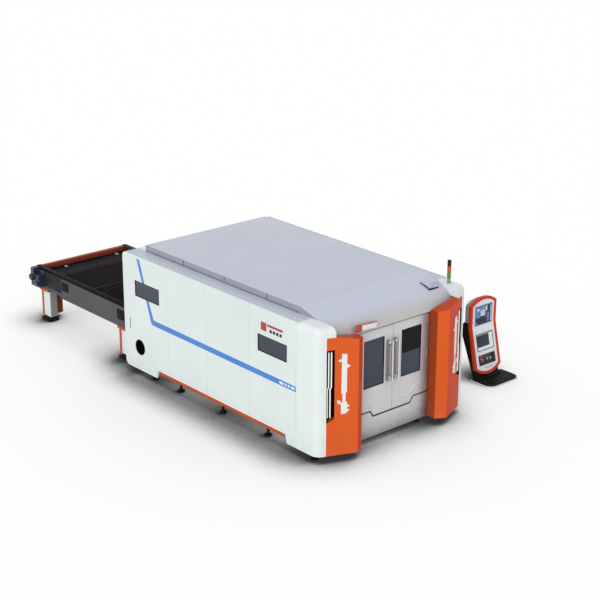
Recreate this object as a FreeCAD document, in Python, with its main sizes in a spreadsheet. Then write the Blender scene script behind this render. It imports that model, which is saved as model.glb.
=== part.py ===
import FreeCAD, Part
import math
import os
import Sketcher

# Fiber laser cutting machine: a closed cutting cell with a moving gantry,
# a two-pallet exchange table at its rear and a free-standing operator console.
#
# Datum while modelling: X from the outer face of the left wall to the right,
# Y from the tips of the front columns to the rear, Z up from the floor.
# Every sub-part is then moved together so that the origin lies under the
# middle of the whole machine, on the floor.

document = FreeCAD.newDocument("LaserCuttingMachine")
sheet = document.addObject("Spreadsheet::Sheet", "Sizes")


class Size:
    """A length in millimetres together with the sheet expression that gives it."""

    def __init__(self, value, text):
        self.value = float(value)
        self.text = text

    def __add__(self, other):
        other = as_size(other)
        return Size(self.value + other.value, f"({self.text} + {other.text})")

    def __radd__(self, other):
        return as_size(other) + self

    def __sub__(self, other):
        other = as_size(other)
        return Size(self.value - other.value, f"({self.text} - {other.text})")

    def __rsub__(self, other):
        return as_size(other) - self

    def __mul__(self, other):
        other = as_size(other)
        return Size(self.value * other.value, f"({self.text} * {other.text})")

    def __rmul__(self, other):
        return as_size(other) * self

    def __truediv__(self, other):
        other = as_size(other)
        return Size(self.value / other.value, f"({self.text} / {other.text})")

    def __neg__(self):
        return Size(-self.value, f"(-{self.text})")


def as_size(number):
    """The number itself as a Size, so that plain numbers and sizes mix."""
    if isinstance(number, Size):
        return number
    return Size(number, f"{float(number):.6f}")


def cell(alias, value, note):
    """One driving dimension: a note and a plain number in the next row of the sheet."""
    row = cell.row
    cell.row += 1
    sheet.set(f"A{row}", note)
    sheet.set(f"B{row}", str(value))
    sheet.setAlias(f"B{row}", alias)
    return Size(value, f"Sizes.{alias}")


cell.row = 1


# ---------------------------------------------------------------- driving sizes
# Enclosure
width = cell("enclosure_width", 3020, "left wall to right wall, outside")
nose = cell("nose_length", 650, "column tips to the front seam of the side panels")
door_line = cell("door_line", 255, "column tips to the face of the doors")
skirt = cell("skirt_clearance", 126, "floor to the bottom of caps, columns and portal")
sill = cell("sill_clearance", 266, "floor to the raised lower edge of the side panels")
roof_height = cell("roof_height", 2190, "floor to the top of the roof")
ledge_drop = cell("ledge_drop", 102, "top of the roof to the flat ledge along each side")
ledge_width = cell("ledge_width", 270, "side wall to the raised roof")
wall = cell("wall_thickness", 30, "double-skinned panel thickness")
bay_one = cell("first_bay", 1100, "length of the front side panel")
bay_two = cell("second_bay", 1030, "length of the second side panel")
bay_three = cell("third_bay", 990, "length of the third side panel")
bay_four = cell("fourth_bay", 920, "length of the rear side panel")
seam = cell("panel_seam", 5, "open seam between neighbouring side panels")
portal_length = cell("portal_length", 290, "length of the rear portal")
portal_corner = cell("portal_corner", 90, "radius of the portal's rear edges")

# Side windows, exhaust hole
pane_length = cell("side_window_length", 662, "side window along the wall")
pane_height = cell("side_window_height", 268, "side window, height")
pane_sill = cell("side_window_sill", 1400, "floor to the bottom of the side windows")
pane_front = cell("front_window_place", 230, "front seam to the front window")
pane_rear = cell("rear_window_place", 225, "rear panel's seam to the rear window")
glass = cell("glass_thickness", 8, "laser-safe glass")
duct_bore = cell("duct_bore", 118, "inside radius of the exhaust collar")
duct_wall = cell("duct_wall", 4, "wall of the exhaust collar")
duct_height = cell("duct_height", 528, "floor to the middle of the exhaust collar")
duct_place = cell("duct_place", 130, "portal to the middle of the exhaust collar")
duct_length = cell("duct_length", 90, "length of the exhaust collar")

# Front columns and caps
cap_edge = cell("cap_edge", 140, "left wall to the outer edge of the column")
cap_set = cell("cap_setback", 184, "column tips to the outer edge of the column")
cap_round = cell("cap_round", 150, "radius of the cap's upright corner")
cap_crown = cell("cap_crown", 95, "radius over the front of the cap")
ridge = cell("column_ridge", 590, "left wall to the column's front ridge")
column_inner = cell("column_inner", 750, "left wall to the column's inner side")
column_return = cell("column_return", 95, "column tips to the column's inner corner")
cap_cover = cell("cap_cover", 143, "ledge to the top of the column")
column_drop = cell("column_drop", 93, "fall of the column's top from the ledge to its inner side")
column_depth = cell("column_depth", 45, "column behind the face of the doors")
slot_width = cell("light_slot_width", 118, "light slot along the column's face")
slot_depth = cell("light_slot_depth", 45, "depth of the light slot")
slot_bottom = cell("light_slot_bottom", 657, "floor to the light slot")
slot_drop = cell("light_slot_drop", 193, "top of the column to the top of the light slot")
slot_slant = cell("light_slot_slant", 60, "slanted lower corner of the light slot")
bar_width = cell("light_bar_width", 26, "width of a light bar")
bar_break = cell("light_bar_break", 1160, "floor to the kink in the light bars")

# Hood over the doors
hood_back = cell("hood_back", 900, "column tips to the start of the hood")
break_y = cell("hood_break", 560, "column tips to the hood's bend")
break_drop = cell("hood_bend_drop", 90, "top of the roof to the hood's bend")
lip_y = cell("hood_lip", 235, "column tips to the hood's lower edge")
lip_drop = cell("hood_lip_drop", 360, "top of the roof to the hood's lower edge")
hood_radius = cell("hood_radius", 505, "radius of the hood's front")
sheet_wall = cell("sheet_wall", 25, "hood and roof, thickness")
cowl_width = cell("cowl_width", 200, "small cowl on the hood")
cowl_length = cell("cowl_length", 210, "small cowl, front to back")
cowl_place = cell("cowl_place", 110, "small cowl from the right ledge")
cowl_front = cell("cowl_front", 450, "column tips to the small cowl")
cowl_rise = cell("cowl_rise", 20, "small cowl below the roof line")

# Doors
leaf = cell("door_thickness", 40, "door leaf thickness")
side_gap = cell("door_side_gap", 10, "column to the door leaf")
door_gap = cell("door_gap", 4, "gap between the two leaves and round them")
pivot_in = cell("door_pivot", 25, "leaf edge to the pivot axis")
pivot_pin = cell("pivot_radius", 8, "door pivot pin radius")
pivot_play = cell("pivot_play", 0.05, "radial play of the door pivots")
pivot_length = cell("pivot_length", 16, "door pivot pin, free length")
step_high = cell("kick_high", 545, "floor to the kick panel's top at the columns")
step_low = cell("kick_low", 455, "floor to the kick panel's top in the middle")
step_out = cell("kick_step_outer", 317, "column to the start of the kick panel's step")
step_in = cell("kick_step_inner", 383, "column to the end of the kick panel's step")
view_left = cell("door_window_place", 165, "leaf edge to its window")
view_width = cell("door_window_width", 410, "door window width")
view_sill = cell("door_window_sill", 920, "floor to the door window")
view_drop = cell("door_window_drop", 154, "top of the leaf to its window")
view_frame = cell("door_window_rebate", 12, "rebate that the door glass lies in")
grip_radius = cell("grip_radius", 16, "door handle bar radius")
grip_reach = cell("grip_reach", 62, "door face to the middle of the handle bar")
grip_low = cell("grip_bottom", 935, "floor to the handle bar")
grip_length = cell("grip_length", 650, "handle bar length")
grip_place = cell("grip_place", 65, "middle of the doorway to the handle bar")
trim_width = cell("trim_width", 14, "width of the ornamental groove")
trim_depth = cell("trim_depth", 3, "depth of the ornamental groove")
trim_high = cell("trim_high", 722, "floor to the groove's outer run")
trim_low = cell("trim_low", 622, "floor to the groove's inner run")
trim_end = cell("trim_end", 15, "ends of the groove inside the view window's sides")
trim_bend = cell("trim_bend", 17, "bend of the groove before the kick panel's step")

# Bed and pallet path
table_left = cell("table_left", 210, "left wall to the table's left beam")
table_width = cell("table_width", 1920, "table, over its side beams")
bed_wall = cell("bed_wall", 12, "wall of the bed's beams")
bed_beam = cell("bed_beam_width", 145, "width of the bed's side beams")
bed_low = cell("bed_underside", 190, "floor to the bed")
bed_top = cell("bed_top", 1080, "floor to the gantry rails' seat")
bed_front = cell("bed_front", 380, "column tips to the bed")
bed_cross = cell("bed_cross", 100, "bed's cross members, width")
cross_height = cell("bed_cross_height", 140, "bed's cross members, height")
foot_radius = cell("foot_radius", 55, "levelling foot pad radius")
foot_pad = cell("foot_pad", 28, "levelling foot pad height")
stem_radius = cell("foot_stem", 22, "levelling foot stem radius")
foot_first = cell("foot_first", 1480, "column tips to the first visible foot")
foot_pitch = cell("foot_pitch", 1090, "pitch of the feet")

# Gantry
rail_width = cell("rail_width", 30, "linear rail width")
rail_height = cell("rail_height", 26, "linear rail height")
rail_start = cell("rail_start", 560, "column tips to the linear rails")
rail_end = cell("rail_end", 4540, "column tips to the end of the linear rails")
block_length = cell("block_length", 95, "linear bearing block length")
block_height = cell("block_height", 30, "linear bearing block height")
block_play = cell("block_play", 0.3, "running clearance of the bearing blocks")
beam_length = cell("gantry_depth", 250, "gantry beam, front to back")
beam_height = cell("gantry_height", 260, "gantry beam height")
gantry_place = cell("gantry_place", 1150, "column tips to the parked gantry's front face")
gantry_wall = cell("gantry_wall", 14, "wall of the gantry beam")
carriage_width = cell("carriage_width", 210, "carriage plate width")
carriage_plate = cell("carriage_plate", 18, "carriage plate thickness")
carriage_place = cell("carriage_place", 520, "gantry end to the parked carriage")
slide_width = cell("head_slide_width", 120, "head slide width")
slide_length = cell("head_slide_length", 360, "head slide height")
head_radius = cell("head_radius", 42, "cutting head barrel radius")
nozzle_tip = cell("nozzle_tip", 1034, "floor to the nozzle tip, head raised")
nozzle_radius = cell("nozzle_radius", 14, "nozzle radius")
motor_side = cell("motor_side", 90, "servo motor body side")
motor_length = cell("motor_length", 150, "servo motor body length")

# Exchange table
table_length = cell("table_length", 3070, "table beyond the portal")
table_top = cell("table_top", 1007, "floor to the table's top flange")
table_depth = cell("table_beam_height", 425, "height of the table's beams")
flange = cell("table_flange", 78, "flange width of the table's beams")
web = cell("table_web", 10, "wall of the table's beams")
leg_rear = cell("rear_leg_place", 203, "table's rear end to the middle of the rear legs")
leg_front = cell("front_leg_place", 410, "portal to the middle of the front legs")
leg_width = cell("leg_width", 140, "leg's white cover, across the table")
leg_length = cell("leg_length", 278, "leg along the table")
leg_back = cell("leg_back", 71, "leg's orange back, along the table")
leg_reach = cell("leg_reach", 185, "leg's orange brace beside the cover, across the table")
leg_brace = cell("leg_brace", 91, "leg's orange brace before the back, along the table")
leg_clear = cell("leg_clearance", 50, "floor to the leg's orange back")
leg_cap = cell("leg_cap", 45, "height of the leg's orange cap")
cap_reach = cell("leg_cap_reach", 125, "leg's orange cap across the table")
shoe = cell("foot_height", 95, "height of the black feet")
shoe_edge = cell("foot_edge", 55, "height of the upright edge of the black feet")
shoe_margin = cell("foot_margin", 22, "foot beyond the leg")
table_step = cell("table_step", 755, "table's rear end to the step in its beams")
table_rise = cell("table_rise", 40, "rise of the beams' underside behind the step")
track_in = cell("track_place", 62, "table's outer face to the pallet rail's web")
track_width = cell("track_width", 68, "pallet rail flange width")
track_wall = cell("track_wall", 12, "pallet rail flange thickness")
track_web = cell("track_web", 8, "pallet rail web thickness")
track_top = cell("track_top", 812, "floor to the upper pallet's rolling face")
tier = cell("pallet_tier", 150, "height from the lower pallet to the upper pallet")
sprocket = cell("sprocket_radius", 88, "chain sprocket radius")
chain_wall = cell("chain_thickness", 14, "drive chain thickness")
chain_width = cell("chain_width", 16, "drive chain width")
shaft_radius = cell("shaft_radius", 20, "drive shaft radius")
shaft_rear = cell("shaft_place", 130, "table's rear end to the drive shaft")
idler_place = cell("idler_place", 1180, "column tips to the front idler sprockets")

# Pallets
pallet_end = cell("pallet_end_gap", 90, "pallet to the table's end beam")
pallet_place = cell("pallet_place", 20, "portal to the pallet")
pallet_travel = cell("pallet_travel", 3500, "exchange stroke")
pallet_tube = cell("pallet_tube", 50, "pallet frame, tube width")
pallet_height = cell("pallet_height", 70, "pallet frame, tube height")
wheel_radius = cell("wheel_radius", 30, "pallet wheel radius")
wheel_width = cell("wheel_width", 28, "pallet wheel width")
wheel_gap = cell("wheel_gap", 10, "pallet frame to its wheels")
slat_height = cell("slat_height", 85, "serrated slat height")
slat_wall = cell("slat_thickness", 8, "serrated slat thickness")
slat_tooth = cell("slat_tooth", 30, "depth of the slat's teeth")
slat_count = 22
tooth_count = 8
end_plate = cell("pallet_end_plate", 340, "plain plate at the rear end of a pallet")

# Console
console_left = cell("console_left", 4000, "left wall to the console")
console_width = cell("console_width", 600, "console frame width")
console_line = cell("console_line", 1000, "column tips to the console's upper face")
console_bend = cell("console_bend", 900, "floor to the bend in the console's face")
console_lean = cell("console_lean", 185, "forward reach of the lower face")
console_low = cell("console_bottom", 90, "floor to the console frame")
console_high = cell("console_top", 1375, "floor to the crown of the console frame")
console_crown = cell("console_crown", 110, "rise of the crown over the frame's shoulders")
frame_depth = cell("console_depth", 50, "depth of the orange frame")
frame_ring = cell("console_ring", 46, "width of the orange frame's face")
inlay = cell("console_inlay", 8, "setback of the pale panel in the frame")
deck_left = cell("deck_left", 4000, "left wall to the console's base plate")
deck_width = cell("deck_width", 700, "console base plate width")
deck_front = cell("deck_front", 510, "column tips to the console's base plate")
deck_length = cell("deck_length", 405, "console base plate, front to back")
deck_wall = cell("deck_thickness", 16, "black plate on the console's base")
plinth = cell("plinth_thickness", 14, "pale plate under the console's base")
plinth_margin = cell("plinth_margin", 18, "pale plate beyond the black plate")
deck_corner = cell("deck_corner", 132, "radius of the base plate's front corners")
post_inset = cell("post_inset", 24, "console frame's side to the post's side")
post_foot = cell("post_foot", 110, "post at its foot, front to back")
post_lean = cell("post_lean", 335, "lean of the post's rear edge")
post_height = cell("post_height", 825, "height of the post's rear edge")
post_top = cell("post_top", 155, "post at its top, front to back")
shell_depth = cell("shell_depth", 110, "depth of the grey rear shell")
shell_low = cell("shell_bottom", 955, "floor to the grey rear shell")
screen_left = cell("screen_left", 110, "frame's side to the screens")
screen_width = cell("screen_width", 382, "screen width")
screen_low = cell("screen_bottom", 906, "floor to the upper screen")
screen_height = cell("screen_height", 319, "upper screen height")
monitor_low = cell("monitor_bottom", 486, "floor to the lower screen")
monitor_height = cell("monitor_height", 271, "lower screen height")
keypad_low = cell("keypad_bottom", 248, "floor to the button panel")
keypad_height = cell("keypad_height", 167, "button panel height")
plate = cell("screen_thickness", 8, "screens and button panel, thickness")
button_radius = cell("button_radius", 12, "push button radius")
button_reach = cell("button_reach", 12, "push button above its panel")
button_travel = cell("button_travel", 4, "push button travel")
stop_radius = cell("stop_radius", 20, "emergency stop cap radius")
button_play = cell("button_play", 0.3, "clearance round the buttons")

# Signal tower
tower_x = cell("tower_place", 170, "right wall to the signal tower")
tower_y = cell("tower_setback", 444, "column tips to the signal tower")
tower_radius = cell("tower_radius", 27, "signal tower radius")
tower_base = cell("tower_base", 78, "signal tower base height")
lamp_height = cell("lamp_height", 95, "height of one lamp")

# ---------------------------------------------------------------- derived places
middle = width / 2
ledge_height = roof_height - ledge_drop
column_top = ledge_height - cap_cover
slot_top = column_top - slot_drop
break_z = roof_height - break_drop
lip_z = roof_height - lip_drop
seam_one = nose + bay_one
seam_two = seam_one + bay_two
seam_three = seam_two + bay_three
portal_front = seam_three + bay_four
portal_rear = portal_front + portal_length
table_rear = portal_rear + table_length
table_right = table_left + table_width
machine_right = deck_left + deck_width + plinth_margin
origin_x = machine_right / 2
origin_y = table_rear / 2


# ---------------------------------------------------------------- tools
subparts = {}


def bind(thing, name, size):
    """Set one property to a size and bind it to the sheet."""
    size = as_size(size)
    if "." not in name:
        setattr(thing, name, size.value)
    thing.setExpression(name, size.text)


def finish(thing, label):
    """Give a finished sub-part its name and its place in the whole machine."""
    thing.Label = label
    bind(thing, "Placement.Base.x", -origin_x)
    bind(thing, "Placement.Base.y", -origin_y)
    subparts[label] = thing
    return thing


def base_plane(body, role):
    return [p for p in body.Origin.OriginFeatures if p.Role == role][0]


def fix(sketch, kind, geometry, point, size):
    """Tie one coordinate or radius of the sketch to the sheet."""
    if kind == "Radius":
        index = sketch.addConstraint(Sketcher.Constraint(kind, geometry, size.value))
    else:
        index = sketch.addConstraint(Sketcher.Constraint(kind, -1, 1, geometry, point, size.value))
    sketch.setExpression(f"Constraints[{index}]", size.text)


def circle(x, y, radius):
    return ("circle", as_size(x), as_size(y), as_size(radius))


def point(x, y):
    """A corner of an outline, reached by a straight side."""
    return (as_size(x), as_size(y), None, 0)


def arc(x, y, radius, turn):
    """A corner of an outline, reached by an arc: turn 1 bends left, -1 bends right."""
    return (as_size(x), as_size(y), as_size(radius), turn)


def rectangle(left, low, right, high):
    return [point(left, low), point(right, low), point(right, high), point(left, high)]


def arc_between(start, end, radius, turn):
    """The short arc from start to end that bends left (1) or right (-1)."""
    chord = end - start
    half = chord.Length / 2
    rise = math.sqrt(max(radius * radius - half * half, 0))
    across = FreeCAD.Vector(-chord.y, chord.x, 0).normalize()
    centre = start + chord * 0.5 + across * rise * turn
    first = math.atan2(start.y - centre.y, start.x - centre.x)
    last = math.atan2(end.y - centre.y, end.x - centre.x)
    round_edge = Part.Circle(centre, FreeCAD.Vector(0, 0, 1), radius)
    if turn > 0:
        return Part.ArcOfCircle(round_edge, first, last)
    return Part.ArcOfCircle(round_edge, last, first)


def draw(sketch, loop):
    """Draw one closed loop, every corner and radius tied to the sheet."""
    if loop[0] == "circle":
        _, x, y, radius = loop
        middle_point = FreeCAD.Vector(x.value, y.value, 0)
        n = sketch.addGeometry(Part.Circle(middle_point, FreeCAD.Vector(0, 0, 1), radius.value))
        fix(sketch, "DistanceX", n, 3, x)
        fix(sketch, "DistanceY", n, 3, y)
        fix(sketch, "Radius", n, 0, radius)
        return
    count = len(loop)
    starts = []
    ends = []
    for i in range(count):
        x, y, _, _ = loop[i]
        next_x, next_y, radius, turn = loop[(i + 1) % count]
        start = FreeCAD.Vector(x.value, y.value, 0)
        end = FreeCAD.Vector(next_x.value, next_y.value, 0)
        if radius is None:
            n = sketch.addGeometry(Part.LineSegment(start, end))
        else:
            n = sketch.addGeometry(arc_between(start, end, radius.value, turn))
            fix(sketch, "Radius", n, 0, radius)
        starts.append((n, 2 if turn < 0 else 1))
        ends.append((n, 1 if turn < 0 else 2))
    for i in range(count):
        before = ends[i - 1]
        here = starts[i]
        sketch.addConstraint(Sketcher.Constraint("Coincident", before[0], before[1], here[0], here[1]))
        fix(sketch, "DistanceX", here[0], here[1], loop[i][0])
        fix(sketch, "DistanceY", here[0], here[1], loop[i][1])


def outline(body, role, loops, start):
    """A sketch on one of the body's own planes, lifted to start along its axis."""
    sketch = body.newObject("Sketcher::SketchObject", "Outline")
    sketch.AttachmentSupport = [(base_plane(body, role), "")]
    sketch.MapMode = "FlatFace"
    start = as_size(start)
    lift = -start if role == "XZ_Plane" else start
    sketch.AttachmentOffset = FreeCAD.Placement(FreeCAD.Vector(0, 0, lift.value), FreeCAD.Rotation())
    sketch.setExpression("AttachmentOffset.Base.z", lift.text)
    for loop in loops:
        draw(sketch, loop)
    return sketch


def add(body, role, loops, start, length):
    """Extrude loops by length towards +X, +Y or +Z, joined to the body."""
    pad = body.newObject("PartDesign::Pad", "Pad")
    pad.Profile = outline(body, role, loops, start)
    bind(pad, "Length", length)
    pad.Reversed = role == "XZ_Plane"
    pad.Refine = True
    return pad


def cut(body, role, loops, start, length):
    """Cut loops out of the body, from start by length towards +X, +Y or +Z."""
    pocket = body.newObject("PartDesign::Pocket", "Pocket")
    pocket.Profile = outline(body, role, loops, start)
    bind(pocket, "Length", length)
    pocket.Reversed = role != "XZ_Plane"
    return pocket


def prism(role, loops, start, length):
    body = document.addObject("PartDesign::Body", "Body")
    add(body, role, loops, start, length)
    return body


def round_edges(body, radius, wanted):
    """Fillet the edges of the body whose middle and direction are wanted."""
    document.recompute()
    base = body.Tip
    names = []
    for i, edge in enumerate(base.Shape.Edges):
        first = edge.firstVertex().Point
        last = edge.lastVertex().Point
        if wanted((first + last) * 0.5, last - first):
            names.append(f"Edge{i + 1}")
    fillet = body.newObject("PartDesign::Fillet", "Fillet")
    fillet.Base = (base, names)
    bind(fillet, "Radius", radius)
    return fillet


def block(x, y, z, length, depth, height):
    box = document.addObject("Part::Box", "Block")
    for name, size in (("Length", length), ("Width", depth), ("Height", height)):
        bind(box, name, size)
    for name, size in (("x", x), ("y", y), ("z", z)):
        bind(box, f"Placement.Base.{name}", size)
    return box


def cylinder(x, y, z, radius, height, direction="Z"):
    """A round bar that starts at a point and runs towards +X, +Y or +Z."""
    bar = document.addObject("Part::Cylinder", "Bar")
    bind(bar, "Radius", radius)
    bind(bar, "Height", height)
    turns = {
        "X": FreeCAD.Rotation(FreeCAD.Vector(0, 1, 0), 90),
        "Y": FreeCAD.Rotation(FreeCAD.Vector(1, 0, 0), -90),
        "Z": FreeCAD.Rotation(),
    }
    bar.Placement = FreeCAD.Placement(FreeCAD.Vector(), turns[direction])
    for name, size in (("x", x), ("y", y), ("z", z)):
        bind(bar, f"Placement.Base.{name}", size)
    return bar


def fused(things):
    union = document.addObject("Part::MultiFuse", "Union")
    union.Shapes = things
    union.Refine = True
    return union


def minus(base, tool):
    rest = document.addObject("Part::Cut", "Rest")
    rest.Base = base
    rest.Tool = tool
    rest.Refine = True
    return rest


def group(things):
    """Separate solids kept under one name."""
    compound = document.addObject("Part::Compound", "Set")
    compound.Links = things
    return compound


def mirrored_x(x):
    """The same distance from the right wall as x is from the left wall."""
    return width - x


def across_table(x):
    """The same distance from the table's right beam as x is from its left beam."""
    return table_left + table_right - x


# ---------------------------------------------------------------- enclosure
def root(size):
    return Size(math.sqrt(size.value), f"sqrt({size.text})")


face_run = ridge - cap_edge
face_length = root(face_run * face_run + cap_set * cap_set)
along_x = face_run / face_length
along_y = cap_set / face_length
corner_y = cap_set + cap_edge * cap_set / face_run
lintel_low = lip_z - door_gap
door_top = lintel_low - door_gap
view_height = door_top - view_drop - view_sill
leaf_left = column_inner + side_gap
leaf_right = middle - door_gap / 2
pivot_x = leaf_left + pivot_in
pivot_y = door_line + leaf / 2


def on_face(distance, depth):
    """Plan point on the left column's face, this far from its outer edge and this deep."""
    x = cap_edge + along_x * distance + along_y * depth
    y = cap_set - along_y * distance + along_x * depth
    return x, y


def sided(side, x):
    return x if side == "left" else mirrored_x(x)


def front_cap(side):
    """The white corner post, hollow behind and carried over the top of the column."""
    s = lambda x: sided(side, x)
    face_x = ledge_width
    face_y = corner_y - ledge_width * cap_set / face_run
    body = prism("XY_Plane", [[
        point(s(0), nose), point(s(0), corner_y), point(s(cap_edge), cap_set), point(s(cap_edge), nose),
    ]], skirt, column_top - skirt)
    add(body, "XY_Plane", [[
        point(s(0), nose), point(s(0), corner_y), point(s(face_x), face_y), point(s(face_x), nose),
    ]], column_top, ledge_height - column_top)
    outer = s(as_size(0)).value
    round_edges(body, cap_round, lambda mid, run: (
        abs(run.z) > 100 and abs(mid.x - outer) < 1 and abs(mid.y - corner_y.value) < 1
    ))
    round_edges(body, cap_crown, lambda mid, run: (
        abs(run.z) < 1 and mid.z > ledge_height.value - 1 and mid.y < corner_y.value - 60
    ))
    back = door_line + column_depth
    cut(body, "XY_Plane", [[
        point(s(wall), nose + 1), point(s(wall), corner_y + cap_round / 2),
        point(s(cap_edge - wall), cap_set + wall * 2), point(s(cap_edge - wall), back),
        point(s(cap_edge + 1), back), point(s(cap_edge + 1), nose + 1),
    ]], skirt - 1, column_top - wall - skirt + 1)
    return body


def front_column(side):
    """The folded orange column: a raked face, a front ridge and a return to the doorway."""
    s = lambda x: sided(side, x)
    back = door_line + column_depth
    body = prism("XY_Plane", [[
        point(s(cap_edge), cap_set), point(s(ridge), 0), point(s(column_inner), column_return),
        point(s(column_inner), back), point(s(cap_edge), back),
    ]], skirt, column_top - skirt)
    cut(body, "XZ_Plane", [[
        point(s(ledge_width), column_top), point(s(column_inner), column_top - column_drop),
        point(s(column_inner + 1), column_top - column_drop), point(s(column_inner + 1), column_top + 1),
        point(s(ledge_width), column_top + 1),
    ]], -1, back + 2)
    near = on_face(-1, -1)
    far = on_face(slot_width, -1)
    deep = on_face(slot_width, slot_depth)
    rear = on_face(-1, slot_depth)
    cut(body, "XY_Plane", [[
        point(s(x), y) for x, y in (near, far, deep, rear)
    ]], slot_bottom, slot_top - slot_bottom)
    notch = ledge_width - seam if side == "left" else mirrored_x(column_inner + 1)
    cut(body, "YZ_Plane", [rectangle(lip_y - seam, lintel_low, back + 1, column_top + 1)],
        notch, column_inner + 1 - ledge_width + seam)
    return body


def light_bar(side, start):
    """One light bar, kinked half way up, standing on the floor of the slot."""
    outline_points = [
        (start, slot_bottom + slot_slant), (start + bar_width, slot_bottom + slot_slant),
        (start + bar_width, bar_break), (start + bar_width * 1.7, bar_break + bar_width * 1.4),
        (start + bar_width * 1.7, slot_top - bar_width), (start + bar_width * 0.7, slot_top - bar_width),
        (start + bar_width * 0.7, bar_break + bar_width * 1.4), (start, bar_break),
    ]
    thickness = slot_depth / 3
    corners = []
    for distance, height in outline_points:
        x, y = on_face(distance, slot_depth)
        corners.append(FreeCAD.Vector(sided(side, x).value, y.value, as_size(height).value))
    edge = Part.makePolygon(corners + [corners[0]])
    outward = on_face(start, slot_depth - thickness)
    inward = on_face(start, slot_depth)
    push = FreeCAD.Vector(
        sided(side, outward[0]).value - sided(side, inward[0]).value,
        outward[1].value - inward[1].value, 0,
    )
    return Part.Face(edge).extrude(push)


def panel_outline(low, high, front_foot, rear_foot):
    """Side panel seen from the side; its lower edge steps down at a foot."""
    start = low + seam / 2
    end = high - seam / 2
    corners = []
    if front_foot:
        corners += [point(start, skirt), point(nose + foot_front, skirt)]
        corners += [point(nose + foot_front + foot_slant, sill)]
    else:
        corners += [point(start, sill)]
    if rear_foot:
        corners += [point(portal_front - foot_rear - foot_slant, sill)]
        corners += [point(portal_front - foot_rear, skirt), point(high, skirt), point(high, ledge_height)]
    else:
        corners += [point(end, sill), point(end, ledge_height)]
    corners += [point(start if not front_foot else low, ledge_height)]
    if front_foot:
        corners[0] = point(low, skirt)
    return corners


def window_loop(start, margin=0):
    start = start - margin
    low = pane_sill - margin
    return rectangle(start, low, start + pane_length + margin * 2, low + pane_height + margin * 2)


foot_front = cell("front_foot_length", 230, "front seam to the step in the side panels")
foot_rear = cell("rear_foot_length", 570, "portal to the step in the side panels")
foot_slant = cell("foot_slant", 42, "slanted rise of that step")
front_pane_y = nose + pane_front
rear_pane_y = seam_three + pane_rear
duct_y = portal_front - duct_place


def wall_panels(side):
    start = as_size(0) if side == "left" else width - wall
    hole = [circle(duct_y, duct_height, duct_bore + duct_wall)] if side == "left" else []
    return [
        prism("YZ_Plane", [panel_outline(nose, seam_one, True, False), window_loop(front_pane_y)], start, wall),
        prism("YZ_Plane", [panel_outline(seam_one, seam_two, False, False)], start, wall),
        prism("YZ_Plane", [panel_outline(seam_two, seam_three, False, False)], start, wall),
        prism("YZ_Plane", [
            panel_outline(seam_three, portal_front, False, True), window_loop(rear_pane_y),
        ] + hole, start, wall),
    ]

def side_windows():
    inset = (wall - glass) / 2
    panes = []
    for x in (inset, width - inset - glass):
        for y in (front_pane_y, rear_pane_y):
            panes.append(block(x, y, pane_sill, glass, pane_length, pane_height))
    finish(group(panes), "side_windows")


def duct_collar():
    ring = minus(
        cylinder(0, duct_y, duct_height, duct_bore + duct_wall, duct_length, "X"),
        cylinder(-1, duct_y, duct_height, duct_bore, duct_length + 2, "X"),
    )
    finish(ring, "duct_collar")


def roof_panel():
    """Ledge, upstand, roof, upstand and ledge, folded as one long section."""
    left = ledge_width
    right = width - ledge_width
    low = ledge_height - wall
    inner = roof_height - sheet_wall
    body = prism("XZ_Plane", [[
        point(wall, low), point(left + wall, low), point(left + wall, inner),
        point(right - wall, inner), point(right - wall, low), point(width - wall, low),
        point(width - wall, ledge_height), point(right, ledge_height), point(right, roof_height),
        point(left, roof_height), point(left, ledge_height), point(wall, ledge_height),
    ]], hood_back, portal_front - hood_back)
    for start, end in ((wall, left + wall), (right - wall, width - wall)):
        add(body, "XY_Plane", [rectangle(start, nose, end, hood_back + 1)], low, wall)
    finish(body, "roof_panel")


def hood_loop(bottom=None):
    """The hood's outside from the roof down to its lip."""
    corners = [point(hood_back, roof_height), point(break_y, break_z), arc(lip_y, lip_z, hood_radius, 1)]
    if bottom is not None:
        return corners + [point(lip_y, bottom), point(hood_back, bottom)]
    inner_radius = hood_radius - sheet_wall
    return corners + [
        point(lip_y + sheet_wall, lip_z),
        arc(break_y + sheet_wall / 4, break_z - sheet_wall, inner_radius, -1),
        point(hood_back, roof_height - sheet_wall),
    ]


def front_hood():
    start = ledge_width
    length = width - ledge_width * 2
    body = prism("YZ_Plane", [hood_loop()], start, length)
    cheek = [[
        point(break_y + wall, ledge_height), point(hood_back, ledge_height),
        point(hood_back, roof_height - sheet_wall / 2), point(break_y + wall, break_z),
    ]]
    add(body, "YZ_Plane", cheek, start, wall)
    add(body, "YZ_Plane", cheek, width - ledge_width - wall, wall)
    finish(body, "front_hood")


def roof_cowl():
    """A small cowl seated on the slope of the hood."""
    left = width - ledge_width - cowl_place - cowl_width
    solid = prism("YZ_Plane", [hood_loop(lip_z - wall)], left - 1, cowl_width + 2)
    top = roof_height - cowl_rise
    cowl = minus(
        block(left, cowl_front, lip_z, cowl_width, cowl_length, top - lip_z),
        solid,
    )
    finish(cowl, "roof_cowl")


portal_slope = cell("portal_slope", 190, "reach of the portal's slope behind the roof")
portal_low = cell("portal_opening_bottom", 600, "floor to the pallet opening")
portal_high = cell("portal_opening_top", 1260, "floor to the top of the pallet opening")


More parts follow.
